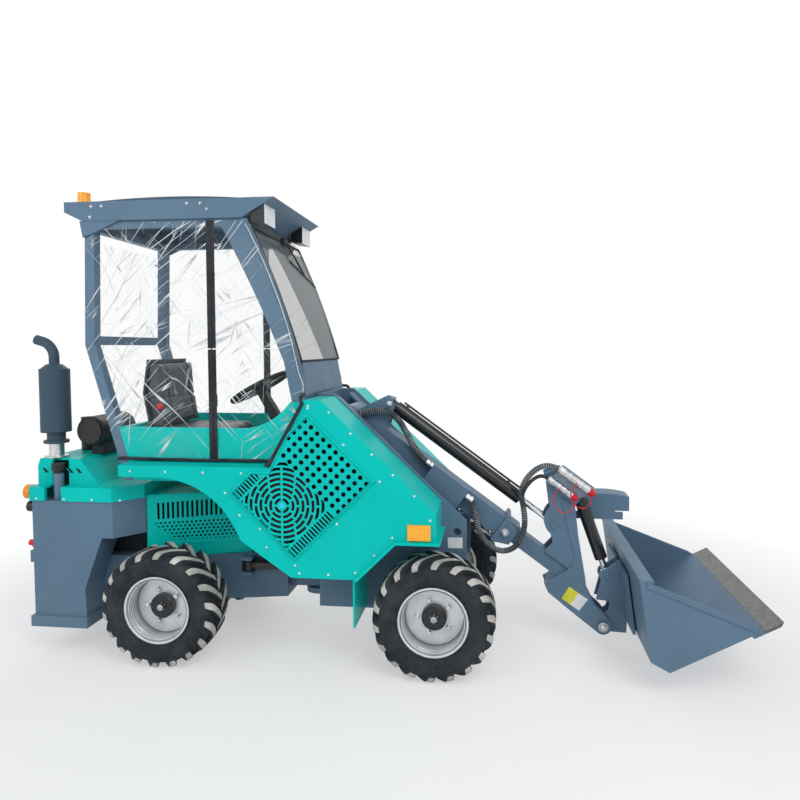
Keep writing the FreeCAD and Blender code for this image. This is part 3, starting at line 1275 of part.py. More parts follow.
def bucket():
    wall = bucket_wall
    back = (back_top_x, back_top_z)
    outline = [back, (back_low_x, back_low_z), (heel_x, heel_z), (lip_x, lip_z)]
    outer = slab("BucketBody", outline, -bucket_y, bucket_y)
    room = slab("BucketRoom", [
        (back_top_x + wall, back_top_z + 1), (back_low_x + wall, back_low_z + wall * 0.5),
        (heel_x + wall * 0.1, heel_z + wall * 1.15), (lip_x, lip_z + wall * 1.1), (lip_x, back_top_z + 1)],
        wall - bucket_y, bucket_y - wall)
    shell = cut("BucketShell", outer, room)
    run, rise = lip_x - heel_x, lip_z - heel_z
    long = length_of(run, rise)
    tip_x, tip_z = lip_x + edge_reach * run / long, lip_z + edge_reach * rise / long
    down_x, down_z = rise / long * edge_thickness, run / long * edge_thickness
    edge = slab("CuttingEdge", [
        (lip_x - 60 * run / long, lip_z - 60 * rise / long), (tip_x, tip_z),
        (tip_x - 20 * run / long + down_x, tip_z - 20 * rise / long - down_z),
        (lip_x - 60 * run / long + down_x, lip_z - 60 * rise / long - down_z)], -bucket_y, bucket_y)
    top = slab("TopFlange", [
        (back_top_x - 2, back_top_z), (back_top_x + 62, back_top_z - 6), (back_top_x + 61, back_top_z - 20),
        (back_top_x, back_top_z - 16)], -bucket_y, bucket_y)
    low, high = back_low_z + 6, back_low_z + 280
    pad_low = slab("HookPad", [
        (back_x(low, -2), low), (back_x(high, -2), high), (back_x(high, 8) + fit, high),
        (back_x(low, 8) + fit, low)], -200, -100)
    node("bucket", joined("Bucket", shell, edge, top, pad_low, mirrored("Pad", pad_low)))


# ---------------------------------------------------------------- hydraulic cylinders

def cylinder(name, full, radius, rod_radius, barrel_end, tail, pin_axis, eye_half=22):
    """Barrel and rod along their own X axis, from the barrel's pin to the rod's eye."""
    def eye(x, bore):
        start = (x, -eye_half, 0) if pin_axis == "Y" else (x, 0, -eye_half)
        around = rod("Eye", pin_axis, start, 2 * eye_half, pin_radius + 15)
        low = (x, -eye_half - 5, 0) if pin_axis == "Y" else (x, 0, -eye_half - 5)
        return around, rod("EyeBore", pin_axis, low, 2 * eye_half + 10, bore)

    wall = 8
    base_eye, base_bore = eye(0, pin_radius + pin_play)
    tube = rod("Tube", "X", (38, 0, 0), barrel_end - 38, radius)
    neck = rod("TubeNeck", "X", (20, 0, 0), 30, radius - wall)
    room = rod("TubeRoom", "X", (46, 0, 0), barrel_end - 46 - 22, radius - wall)
    gland = rod("Gland", "X", (barrel_end - 30, 0, 0), 35, rod_radius + pin_play)
    barrel = cut(name + "Barrel", joined("BarrelSolid", base_eye, tube, neck),
                 base_bore, room, gland)
    rod_eye, rod_bore = eye(full, pin_radius + pin_play)
    shaft = rod("Shaft", "X", (tail, 0, 0), full - tail - pin_radius - 6, rod_radius)
    piston = rod("Piston", "X", (tail, 0, 0), 12, radius - wall - fit)
    ram = cut(name + "Rod", joined("RodSolid", rod_eye, shaft, piston), rod_bore)
    return barrel, ram


def cylinders():
    lug_x, lug_z = on_boom(lift_s, lift_n)
    run, rise = lug_x - lift_base_x, lug_z - lift_base_z
    full = length_of(run, rise)
    barrel, ram = cylinder("Lift", full, 42, 22, full - 85, 70, "Y", 30)
    for label, piece in (("lift_barrel", barrel), ("lift_rod", ram)):
        node(label, put(piece, lift_base_x, 0, lift_base_z, (0, 1, 0), -heading_of(run, rise)))

    run, rise = tilt_s - mast_s, tilt_n - mast_n
    full = length_of(run, rise)
    barrel, ram = cylinder("Tilt", full, 33, 17, full - 85, 73, "Y", 26)
    mast_x, mast_z = on_boom(mast_s, mast_n)
    for label, piece in (("tilt_barrel", barrel), ("tilt_rod", ram)):
        node(label, put(piece, mast_x, 0, mast_z, (0, 1, 0), boom_droop - heading_of(run, rise)))

    run, rise = steer_eye_x - steer_base_x, steer_eye_y - steer_base_y
    full = length_of(run, rise)
    barrel, ram = cylinder("Steer", full, 28, 14, full - 112, 121, "Z", 22)
    for label, piece in (("steer_barrel", barrel), ("steer_rod", ram)):
        node(label, put(piece, steer_base_x, steer_base_y, steer_z, (0, 0, 1), heading_of(run, rise)))

    full = tele_eye - tele_s
    barrel, ram = cylinder("Tele", full, 35, 17, full - 215, 110, "Y", 18)
    line = rod("HardLine", "X", (60, 0, 45), full - 300, 6)
    clips = [block("LineClip", (x, x + 14), (-8, 8), (30, 48)) for x in (80, full - 320)]
    barrel = joined("TeleBarrel", barrel, line, *clips)
    for label, piece in (("telescope_barrel", barrel), ("telescope_rod", ram)):
        x, z = on_boom(tele_s, tele_n)
        node(label, put(piece, x, 0, z, (0, 1, 0), boom_droop))


# ---------------------------------------------------------------- document

def check_document():
    doc.recompute()
    for thing in doc.Objects:
        if "Invalid" in thing.State or "Error" in thing.State:
            raise RuntimeError("%s (%s) failed: %s" % (thing.Name, thing.Label, thing.State))
    for piece in nodes:
        shape = piece.Shape
        if shape.isNull() or not shape.isValid() or not shape.Solids:
            raise RuntimeError("%s has no valid solid" % piece.Label)


def footprint_middle():
    """The middle of the machine along X, which becomes the origin of every file."""
    boxes = [piece.Shape.optimalBoundingBox(False) for piece in nodes]
    return (min(box.XMin for box in boxes) + max(box.XMax for box in boxes)) / 2


def write_files():
    os.makedirs("parts", exist_ok=True)
    shift = Vector(-footprint_middle(), 0, 0)
    print("origin at machine x = %.6f" % -shift.x)
    for piece in nodes:
        shape = piece.Shape.copy()
        shape.translate(shift)
        shape.exportStep("parts/%s.step" % piece.Label)
        print("%-20s %2d solids %12.0f mm3" % (piece.Label, len(shape.Solids), shape.Volume))


wheels()
rear_frame()
front_frame()
outer_boom()
hose_guard()
boom_hose()
inner_boom()
couplers()
coupler_hose()
quick_coupler()
bucket()
cylinders()
check_document()
write_files()
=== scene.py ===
"""The looks of a compact articulated wheel loader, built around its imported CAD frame.

Places are given in millimetres from the articulation pivot on the ground: X forwards, Y left, Z up.
"""

import bpy
import bmesh
import json
import math
from mathutils import Matrix, Vector
from mathutils.geometry import delaunay_2d_cdt
from mathutils import noise as field

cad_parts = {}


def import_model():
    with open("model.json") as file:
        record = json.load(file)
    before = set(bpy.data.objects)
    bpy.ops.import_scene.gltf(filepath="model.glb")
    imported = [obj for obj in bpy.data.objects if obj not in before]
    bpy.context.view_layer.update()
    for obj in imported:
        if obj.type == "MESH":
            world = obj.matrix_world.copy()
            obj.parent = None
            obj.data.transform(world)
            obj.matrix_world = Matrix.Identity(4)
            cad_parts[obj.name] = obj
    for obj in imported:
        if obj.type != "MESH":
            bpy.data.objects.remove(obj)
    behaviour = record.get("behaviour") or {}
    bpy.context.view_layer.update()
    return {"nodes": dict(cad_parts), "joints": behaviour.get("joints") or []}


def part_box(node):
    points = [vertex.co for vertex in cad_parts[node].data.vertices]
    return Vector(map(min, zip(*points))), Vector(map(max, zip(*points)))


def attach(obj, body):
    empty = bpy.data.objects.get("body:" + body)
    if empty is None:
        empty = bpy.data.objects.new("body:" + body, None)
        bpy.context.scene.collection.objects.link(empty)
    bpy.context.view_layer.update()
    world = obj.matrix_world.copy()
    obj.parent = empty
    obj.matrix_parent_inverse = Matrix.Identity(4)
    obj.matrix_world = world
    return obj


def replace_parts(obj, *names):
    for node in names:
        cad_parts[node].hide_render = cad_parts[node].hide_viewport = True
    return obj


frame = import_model()
joints = {joint["name"]: joint for joint in frame["joints"]}
nodes = frame["nodes"]
pivot_x = joints["articulation"]["pos_m"][0]


def at(x, y, z):
    """A place in millimetres from the pivot, as a place in metres in the frame of the files."""
    return Vector((pivot_x + x / 1000, y / 1000, z / 1000))


# ---- sizes shared with the frame

SIDES = {"right": -1, "left": 1}
WHEELS = {"front_right": (676, -415), "front_left": (676, 415),
          "rear_right": (-676, -415), "rear_left": (-676, 415)}
AXLE_Z = 292
BODY_Y = 500
CAB_Y = 370
LEDGE_Z = 1000
BOOM_X, BOOM_Z = 190, 1215
BOOM_DROOP = math.radians(36)
GRILLE_X, GRILLE_Z = -301, 877
GRILLE_CLIMB, GRILLE_FALL = 389, 320
GRILLE_RISE = 11
DIAG_LOW_X, DIAG_HIGH_X, DIAG_HIGH_Z = -119, 62, 1322


def on_boom(s, n, y=0):
    """A place along and above the lowered boom's line."""
    x = BOOM_X + s * math.cos(BOOM_DROOP) + n * math.sin(BOOM_DROOP)
    z = BOOM_Z - s * math.sin(BOOM_DROOP) + n * math.cos(BOOM_DROOP)
    return (x, y, z)


def stretch_of_y(side, near, far):
    """The low and high ends of a stretch of Y on one side of the machine."""
    return sorted((side * near, side * far))


def angles(count, start=0.0):
    """Directions spread evenly round a turn, in radians."""
    return [start + 2 * math.pi * step / count for step in range(count)]


def placed(name, data):
    """A new object in the scene."""
    made = bpy.data.objects.new(name, data)
    bpy.context.scene.collection.objects.link(made)
    return made


# ---- materials

def as_colour(value):
    return (value,) * 3 + (1.0,) if isinstance(value, (int, float)) else (*value[:3], 1.0)


class Nodes:
    """A node tree, with short calls for what its finishes share."""

    def __init__(self, tree):
        self.tree = tree

    def fill(self, node, sockets):
        """Gives a node's sockets their values, or wires them to other sockets."""
        for key, value in sockets.items():
            if isinstance(value, bpy.types.NodeSocket):
                self.tree.links.new(value, node.inputs[key])
            else:
                node.inputs[key].default_value = value

    def new(self, kind, sockets={}, **settings):
        node = self.tree.nodes.new(kind)
        for name, value in settings.items():
            setattr(node, name, value)
        self.fill(node, sockets)
        return node

    def math(self, operation, *values, clamp=False):
        inputs = dict(enumerate(values))
        node = self.new("ShaderNodeMath", inputs, operation=operation, use_clamp=clamp)
        return node.outputs["Value"]

    def times(self, value, factor):
        return self.math("MULTIPLY", value, factor)

    def plus(self, value, other):
        return self.math("ADD", value, other)

    def minus(self, value, other):
        return self.math("SUBTRACT", value, other)

    def most(self, value, other):
        return self.math("MAXIMUM", value, other)

    def apart(self, value, other):
        return self.math("ABSOLUTE", self.minus(value, other))

    def hypotenuse(self, value, other):
        return self.math("SQRT", self.plus(self.times(value, value), self.times(other, other)))

    def blend(self, share, first, second, output):
        """Shows the second shader in place of the first by a share."""
        node = self.new("ShaderNodeMixShader", {0: share, 1: first, 2: second})
        self.fill(output, {"Surface": node.outputs["Shader"]})

    def seen(self):
        """1 for what the camera, a reflection or a see-through surface sees."""
        path = self.new("ShaderNodeLightPath")
        straight = self.most(path.outputs["Is Camera Ray"], path.outputs["Is Glossy Ray"])
        return self.most(straight, path.outputs["Is Transmission Ray"])


class Shader(Nodes):
    """A material, with its pattern in the frame's own metres."""

    def __init__(self, name, roughness=0.5, metallic=0.0, coat=0.0, specular=0.5, rounding=0.0):
        self.material = bpy.data.materials.new(name)
        self.material.use_nodes = True
        super().__init__(self.material.node_tree)
        self.surface = self.tree.nodes["Principled BSDF"]
        self.output = self.tree.nodes["Material Output"]
        self.set({"Roughness": roughness, "Metallic": metallic, "Coat Weight": coat,
                  "Coat Roughness": 0.12, "Specular IOR Level": specular})
        spot = self.new("ShaderNodeTexCoord")
        self.place, self.facing = spot.outputs["Object"], spot.outputs["Normal"]
        self.rounded = None
        if rounding:
            bevel = self.new("ShaderNodeBevel", {"Radius": rounding}, samples=6)
            self.rounded = bevel.outputs["Normal"]

    def set(self, sockets):
        self.fill(self.surface, sockets)

    def moved(self, place, **mapping):
        """A place scaled, turned or shifted."""
        return self.new("ShaderNodeMapping", {"Vector": place, **mapping}).outputs["Vector"]

    def noise(self, scale, detail=3.0, rough=0.55, stretch=None, place=None):
        place = place or self.place
        if stretch:
            place = self.moved(place, Scale=stretch)
        node = self.new("ShaderNodeTexNoise", {"Vector": place, "Scale": scale, "Detail": detail,
                                               "Roughness": rough})
        return node.outputs["Fac"]

    def ramp(self, source, *stops):
        """Maps a value through (position, colour or grey) stops."""
        node = self.new("ShaderNodeValToRGB", {"Fac": source})
        elements = node.color_ramp.elements
        while len(elements) < len(stops):
            elements.new(0.5)
        for element, (position, colour) in zip(elements, stops):
            element.position = position
            element.color = as_colour(colour)
        return node.outputs["Color"]

    def cloudy(self, source, colour, low, high, start=0.3, end=0.7):
        """A colour that drifts from a darker to a paler shade of itself."""
        return self.ramp(source, (start, scaled(colour, low)), (end, scaled(colour, high)))

    def mix(self, factor, low, high):
        low, high = [part if isinstance(part, bpy.types.NodeSocket) else as_colour(part)
                     for part in (low, high)]
        node = self.new("ShaderNodeMix", data_type="RGBA")
        self.fill(node, {"Factor": factor, "A": low, "B": high})
        return node.outputs["Result"]

    def split(self, vector=None):
        node = self.new("ShaderNodeSeparateXYZ", {"Vector": vector or self.place})
        return [node.outputs[axis] for axis in "XYZ"]

    def edges(self, radius):
        """1 on the corners of the shape and 0 on its flats."""
        bevel = self.new("ShaderNodeBevel", {"Radius": radius}, samples=4)
        flat = self.new("ShaderNodeNewGeometry")
        normals = {0: bevel.outputs["Normal"], 1: flat.outputs["Normal"]}
        dot = self.new("ShaderNodeVectorMath", normals, operation="DOT_PRODUCT")
        return self.ramp(dot.outputs["Value"], (0.76, 1.0), (0.93, 0.0))

    def beyond(self, value, limit, blur=0.0015):
        """1 where a value is past a limit and 0 before it."""
        step = self.math("DIVIDE", self.minus(value, limit), blur)
        return self.math("ADD", step, 0.5, clamp=True)

    def along(self, x, y, z):
        """How far a place lies along a direction."""
        across, deep, up = self.split()
        return self.plus(self.plus(self.times(across, x), self.times(deep, y)), self.times(up, z))

    def colour(self, source):
        self.set({"Base Color": source})

    def roughness(self, source, low, high):
        span = self.new("ShaderNodeMapRange", {"Value": source, "To Min": low, "To Max": high})
        self.set({"Roughness": span.outputs["Result"]})

    def bump(self, source, height, strength=1.0):
        sockets = {"Height": source, "Distance": height, "Strength": strength}
        if self.rounded:
            sockets["Normal"] = self.rounded
        node = self.new("ShaderNodeBump", sockets)
        self.set({"Normal": node.outputs["Normal"]})


def srgb(red, green, blue):
    """A colour given as it looks, from 0 to 255."""
    def linear(part):
        part /= 255
        return part / 12.92 if part <= 0.04045 else ((part + 0.055) / 1.055) ** 2.4
    return (linear(red), linear(green), linear(blue))


def scaled(colour, factor):
    return tuple(min(1.0, part * factor) for part in colour)


def painted(name, colour, roughness, dust, coat=0.0, wear=0.35, edge=1.55, rounding=0.003,
            bare=None, specular=0.2):
    """Sprayed paint: slight orange peel, cloudy colour, paler corners and dust low down."""
    shader = Shader(name, roughness, coat=coat, specular=specular, rounding=rounding)
    base = shader.cloudy(shader.noise(3.1, 5), colour, 0.9, 1.06, 0.25, 0.75)
    streak = shader.ramp(shader.noise(26, 4, 0.6, stretch=(1, 1, 0.18)), (0.45, 0.0), (0.8, 0.16))
    base = shader.mix(streak, base, scaled(colour, 0.72))
    corner = shader.times(shader.edges(0.004), wear)
    worn = shader.mix(corner, base, scaled(colour, edge))
    specks = shader.ramp(shader.noise(160, 2), (0.5, 0.0), (0.74, 1.0))
    low = shader.ramp(shader.split()[2], (0.15, 1.0), (0.75, 0.0))
    finished = shader.mix(shader.times(shader.times(low, specks), dust), worn, srgb(150, 140, 122))
    rough = shader.noise(9, 3)
    if bare:
        where, bare_colour, bare_rough = bare
        mask = where(shader)
        tarnish = shader.cloudy(shader.noise(38, 5, 0.65), bare_colour, 0.7, 1.12)
        finished = shader.mix(mask, finished, tarnish)
        span = shader.ramp(rough, (0.2, roughness - 0.06), (0.8, roughness + 0.14))
        shader.set({"Metallic": mask, "Roughness": shader.mix(mask, span, bare_rough)})
    else:
        shader.roughness(rough, roughness - 0.06, roughness + 0.14)
    shader.colour(finished)
    shader.bump(shader.noise(420, 2), 0.0001, 0.6)
    return shader.material


def metal(name, colour, roughness, scratches=300, rounding=0.003):
    """Bare or plated metal with fine scratches and a cloudy tarnish."""
    shader = Shader(name, roughness, metallic=1.0, rounding=rounding)
    shader.colour(shader.cloudy(shader.noise(14, 4), colour, 0.78, 1.05))
    streaks = shader.noise(scratches, 3, stretch=(1, 0.08, 1))
    shader.roughness(streaks, roughness - 0.08, roughness + 0.18)
    shader.bump(streaks, 0.00005)
    return shader.material


def rubber(name, colour, dust_colour, dust, grain=260):
    """Moulded rubber with a fine grain and dust in patches."""
    shader = Shader(name, 0.75, specular=0.2)
    patches = shader.ramp(shader.noise(9, 6, 0.65), (0.38, 0.0), (0.68, 1.0))
    fine = shader.noise(grain, 3)
    shader.colour(shader.mix(shader.times(patches, dust), shader.cloudy(fine, colour, 0.8, 1.25),
                             dust_colour))
    shader.roughness(fine, 0.62, 0.88)
    shader.bump(fine, 0.0004)
    return shader.material


def plastic(name, colour, roughness, grain=500, height=0.00015, rounding=0.003):
    """Moulded plastic with a fine leather-like grain."""
    shader = Shader(name, roughness, specular=0.4, rounding=rounding)
    cloud = shader.noise(7, 3)
    shader.colour(shader.cloudy(cloud, colour, 0.85, 1.15))
    shader.roughness(cloud, roughness - 0.08, roughness + 0.1)
    shader.bump(shader.noise(grain, 2), height)
    return shader.material


LENS_ROW = 0.008


def lens(name, colour):
    """A coloured lamp lens, lit a little from within, with a moulded grid."""
    shader = Shader(name, 0.15, coat=0.6)
    grid = shader.new("ShaderNodeTexBrick", {
        "Vector": shader.moved(shader.place, Rotation=(math.pi / 2, 0, 0)),
        "Scale": 0.25 / LENS_ROW, "Mortar Size": 0.03, "Mortar": as_colour(scaled(colour, 0.7)),
        "Color1": as_colour(colour), "Color2": as_colour(scaled(colour, 1.3))}, offset=0.0)
    shader.colour(grid.outputs["Color"])
    shader.set({"Emission Color": as_colour(colour), "Emission Strength": 0.18})
    shader.bump(grid.outputs["Fac"], 0.0008)
    return shader.material


def glass(name, tint, clear):
    """Thin clear glass: mostly see-through, with its gloss on top."""
    shader = Shader(name, 0.02)
    smear = shader.noise(5, 5, stretch=(1, 1, 0.5))
    shader.colour(shader.cloudy(smear, tint, 0.85, 1.0, 0.35, 0.7))
    shader.roughness(smear, 0.02, 0.08)
    shader.set({"Alpha": 1 - clear})
    return shader.material


CREASES = [  # (lean in degrees, scale, half width, shortening, shift)
    (35, 14, 0.010, 0.055, 0.0), (51, 9, 0.008, 0.05, 3.7), (-48, 11, 0.008, 0.055, 7.1),
    (18, 7, 0.006, 0.06, 11.3), (84, 8, 0.005, 0.07, 15.9)]


def clear_film(name):
    """Creased clear plastic film: see-through, with long white streaks along its creases."""
    shader = Shader(name, 0.1)
    along, deep, up = shader.split()
    sheet = shader.new("ShaderNodeCombineXYZ", {"X": shader.plus(along, deep), "Z": up})
    creases = None
    for turn, scale, thin, short, shift in CREASES:
        lean = shader.moved(sheet.outputs["Vector"], Rotation=(0, math.radians(turn), 0),
                            Location=(shift, shift, shift))
        fold = shader.noise(scale, 2, 0.5, stretch=(short, 1, 1), place=lean)
        line = shader.ramp(shader.apart(fold, 0.5), (thin * 0.3, 1.0), (thin, 0.0))
        patch = shader.ramp(shader.noise(3.4, 2, 0.5, place=lean), (0.49, 0.0), (0.6, 1.0))
        part = shader.times(line, patch)
        creases = shader.most(creases, part) if creases else part
    haze = shader.ramp(shader.noise(4.3, 5, 0.65, stretch=(1, 1, 0.5)), (0.45, 0.015), (0.85, 0.12))
    shader.set({"Alpha": shader.most(shader.times(creases, 0.85), haze)})
    shader.colour(shader.mix(creases, srgb(196, 206, 210), srgb(246, 249, 250)))
    shader.bump(shader.noise(7.5, 4, 0.6, stretch=(1, 1, 0.45)), 0.012)
    return shader.material


RING_PITCH, BARREL_RADIUS = 0.0115, 0.144


def wheel_paint(name, centre):
    """Silver rim, rolled in rings beside its seam with painted shade in their grooves, and a black
    hub about the wheel's own axis.
    """
    shader = Shader(name, 0.34, metallic=0.55, rounding=0.003)
    x, y, z = shader.split()
    radius = shader.hypotenuse(shader.minus(x, centre.x), shader.minus(z, centre.z))
    silver = shader.ramp(shader.noise(8, 5, 0.6), (0.3, srgb(196, 202, 204)),
                         (0.7, srgb(228, 232, 233)))
    dusty = shader.mix(shader.ramp(shader.noise(30, 5, 0.7), (0.55, 0.0), (0.8, 0.35)), silver,
                       srgb(150, 138, 120))
    # painted shade: the troughs of the rolled rings are darkened, beside the matching bump
    waves = shader.times(shader.apart(y, centre.y), 2 * math.pi / RING_PITCH)
    barrel = shader.times(shader.beyond(radius, BARREL_RADIUS), shader.math("SINE", waves))
    shade = shader.ramp(shader.plus(shader.times(barrel, 0.5), 0.5), (0.0, 0.75), (0.3, 0.0))
    ringed = shader.mix(shade, dusty, srgb(96, 104, 108))
    seam = shader.ramp(radius, (0.1375, 0.0), (0.1392, 0.95), (0.1418, 0.95), (0.1432, 0.0))
    hub = shader.ramp(radius, (0.0598, 1.0), (0.0606, 0.0))
    dark = shader.most(seam, hub)
    shader.colour(shader.mix(dark, ringed, srgb(26, 28, 31)))
    shader.set({"Metallic": shader.ramp(dark, (0.2, 0.6), (0.6, 0.0))})
    shader.roughness(shader.noise(40, 3), 0.28, 0.5)
    shader.bump(barrel, 0.0025)
    return shader.material


def two_tone(name, colour, other, mask, roughness):
    """Moulded or cast pieces that meet in one solid, told apart by where they are."""
    shader = Shader(name, roughness, specular=0.4, rounding=0.003)
    cloud = shader.noise(11, 4)
    shader.colour(shader.mix(mask(shader), shader.cloudy(cloud, colour, 0.82, 1.1),
                             shader.cloudy(cloud, other, 0.85, 1.08)))
    shader.roughness(cloud, roughness - 0.1, roughness + 0.15)
    shader.bump(shader.noise(380, 2), 0.00012)
    return shader.material


TEAL = srgb(0, 200, 191)
SLATE = srgb(94, 122, 145)
BLACK = srgb(30, 31, 34)
CLEAR = srgb(232, 238, 242)


def past(x, y, z, limit):
    """A mask for what lies further along a direction than a limit, in metres."""
    return lambda shader: shader.beyond(shader.along(x, y, z), limit)


def lamp_front(shader):
    """The face of a lamp that looks forwards."""
    return shader.beyond(shader.split(shader.facing)[0], 0.75, 0.1)


def tail_lamp_body(shader):
    """Everything but the upper lamps' lenses: their bases and the low lamps."""
    base, low = past(1, 0, 0, at(-1401, 0, 0).x), past(0, 0, -1, -LOW_LAMP_TOP)
    return shader.most(base(shader), low(shader))


LIP_SLOPE = Vector((0.883, 0, 0.469))
LIP_START = LIP_SLOPE @ at(1737, 0, 121) + 0.447
BRACKET_FACE, CLAMP_Z, CAP_Z, LOW_LAMP_TOP, KNOB_Z = 0.0687, 1.074, 0.93, 0.79, 0.54
LIP_STEEL = past(*LIP_SLOPE, LIP_START), srgb(112, 114, 112), 0.42
COUPLER_STEEL = past(0, -1, 0, BRACKET_FACE), srgb(206, 208, 210), 0.3
EXHAUST_ZINC = past(0, 0, -1, -CLAMP_Z), srgb(214, 216, 216), 0.35

finish = {
    "body": painted("teal_paint", TEAL, 0.32, wear=0.6, dust=0.04, edge=1.3, specular=0.1),
    "frame": painted("slate_paint", SLATE, 0.42, wear=0.5, dust=0.3, edge=1.8),
    "bucket": painted("bucket_paint", SLATE, 0.42, wear=0.5, dust=0.3, edge=1.8, bare=LIP_STEEL),
    "couplers": painted("coupler_paint", SLATE, 0.42, dust=0.1, edge=1.8, bare=COUPLER_STEEL),
    "muffler": painted("silencer_paint", srgb(64, 84, 98), 0.5, wear=0.3, dust=0.2,
                       edge=1.6, rounding=0.014, bare=EXHAUST_ZINC),
    "black": painted("black_enamel", BLACK, 0.28, coat=0.5, wear=0.3, dust=0.2, edge=2.6,
                     rounding=0.007),
    "cast": painted("cast_paint", srgb(40, 47, 54), 0.6, wear=0.4, dust=0.5, edge=1.6),
    "tyre": rubber("tyre_rubber", srgb(36, 43, 48), srgb(104, 108, 110), 0.22),
    "lug": rubber("lug_rubber", srgb(158, 156, 152), srgb(222, 218, 210), 0.9, grain=120),
    "hose": rubber("hose_sleeve", srgb(40, 43, 48), srgb(110, 112, 114), 0.45, grain=500),
    # paler grey on the sleeve's raised ribs: painted highlight on their crests, with dust in
    # patches over it
    "rib": rubber("sleeve_rib_highlight_and_dust", srgb(74, 80, 86), srgb(176, 180, 182), 0.8, grain=500),
    "hem": rubber("cover_hem", srgb(34, 38, 44), srgb(96, 98, 102), 0.3, grain=700),
    "zinc": metal("zinc", srgb(214, 216, 220), 0.28),
    "steel": metal("pin_steel_bright", srgb(176, 178, 182), 0.3),
    "chrome": metal("ram_chrome_bright", srgb(226, 228, 232), 0.09, 600, rounding=0.005),
    "plastic": plastic("black_plastic_grain", srgb(34, 36, 39), 0.5, rounding=0.012),
    "seat": plastic("seat_vinyl_grain", srgb(62, 68, 76), 0.5, 340, 0.0006),
    "roof": painted("roof_skin_paint", srgb(74, 94, 114), 0.3, wear=0.2, dust=0.1),
    "red": plastic("red_plastic", srgb(214, 28, 40), 0.35),
    "white": plastic("white_plate", srgb(232, 234, 234), 0.4, 90, 0.00005),
    "yellow": plastic("yellow_plate", srgb(226, 218, 60), 0.4, 90, 0.00005),
    "amber": lens("amber_lens_grid", srgb(255, 165, 8)),
    "lamps": two_tone("work_lamp_parts", BLACK, CLEAR, lamp_front, 0.3),
    "tail": two_tone("tail_lamp_parts", srgb(246, 148, 16), BLACK, tail_lamp_body, 0.3),
    "knob": two_tone("hook_and_knob", SLATE, srgb(214, 28, 48), past(0, 0, 1, KNOB_Z), 0.4),
    "filler": two_tone("filler_parts", SLATE, BLACK, past(0, 0, 1, CAP_Z), 0.45),
    "glass": glass("windscreen_glass", srgb(140, 144, 136), 0.6),
    "film": clear_film("cover_film"),
    "film_edge": plastic("film_edge_pale", srgb(206, 212, 214), 0.3),
    "hub_blue": plastic("pale_hub", srgb(40, 208, 236), 0.3),
    # near-black finish for painted shade: inside the engine bay, behind the grilles and in the
    # hood's slots
    "dark": plastic("painted_shade_black", srgb(12, 13, 15), 0.85),
}

NODE_FINISH = {
    "body": "engine_hood engine_cover engine_vents front_panel_right front_panel_left grilles"
            " cab_tub mud_flaps",
    "frame": "rear_chassis counterweight front_chassis cab_frame roof outer_boom inner_boom"
             " quick_coupler coupler_box hose_guard",
    "black": "telescope_barrel lift_barrel tilt_barrel steer_barrel tow_jaw",
    "chrome": "telescope_rod lift_rod tilt_rod steer_rod",
    "cast": "rear_axle front_axle engine_block",
    "plastic": "air_cleaner control_console steering_column oil_cooler",
    "tyre": " ".join("tyre_" + wheel for wheel in WHEELS),
    "hose": "boom_hose coupler_hose",
    "amber": "side_lamps beacon",
    "bucket": "bucket",
    "muffler": "muffler",
    "filler": "fuel_filler",
    "steel": "frame_pins",
    "couplers": "hydraulic_couplers",
    "knob": "rear_fittings",
    "glass": "windscreen",
    "film": "cab_covers",
    "seat": "seat",
    "tail": "tail_lamps",
    "lamps": "work_lamps",
    "roof": "roof_dome",
}


def repaint(name, material):
    data = nodes[name].data
    if not data.materials:
        data.materials.append(material)
    for index in range(len(data.materials)):
        data.materials[index] = material


def repaint_frame():
    for key, names in NODE_FINISH.items():
        for name in names.split():
            repaint(name, finish[key])
    for wheel, (x, y) in WHEELS.items():
        repaint("rim_" + wheel, wheel_paint("rim_paint_" + wheel, at(x, y, AXLE_Z)))


# ---- making pieces

class Shape:
    """Points and faces gathered for one piece, in millimetres, with a finish for each face."""

    def __init__(self):
        self.points = []
        self.faces = []
        self.looks = []
        self.finishes = []

    def add(self, points, faces, look, move=Matrix.Identity(4)):
        start = len(self.points)
        self.points += [move @ Vector(point) for point in points]
        self.faces += [[start + index for index in face] for face in faces]
        if look not in self.finishes:
            self.finishes.append(look)
        self.looks += [self.finishes.index(look)] * len(faces)
        return self

    def piece(self, name, body, slot, smooth=True, angle=38):
        data = bpy.data.meshes.new(name)
        data.from_pydata([at(*point) for point in self.points], [], self.faces)
        for key in self.finishes:
            data.materials.append(finish[key])
        data.polygons.foreach_set("material_index", self.looks)
        data.update()
        shape = bmesh.new()
        shape.from_mesh(data)
        bmesh.ops.remove_doubles(shape, verts=shape.verts[:], dist=2e-6)
        bmesh.ops.recalc_face_normals(shape, faces=shape.faces)
        shape.to_mesh(data)
        shape.free()
        if smooth:
            data.shade_smooth()
            data.set_sharp_from_angle(angle=math.radians(angle))
        made = placed(name, data)
        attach(made, body)
        return made


def ring_faces(rings, around, closed=True):
    """Faces between rings of points that follow each other."""
    faces = []
    steps = around if closed else around - 1
    for ring in range(rings - 1):
        for step in range(steps):
            following = (step + 1) % around
            faces.append([ring * around + step, ring * around + following,
                          (ring + 1) * around + following, (ring + 1) * around + step])
    return faces


def prism(outline, low, high):
    """A plate: an (across, up) outline pushed from low to high along Y."""
    count = len(outline)
    points = [(x, low, z) for x, z in outline] + [(x, high, z) for x, z in outline]
    faces = [list(range(count)), list(range(2 * count - 1, count - 1, -1))]
    faces += [[i, (i + 1) % count, count + (i + 1) % count, count + i] for i in range(count)]
    return points, faces


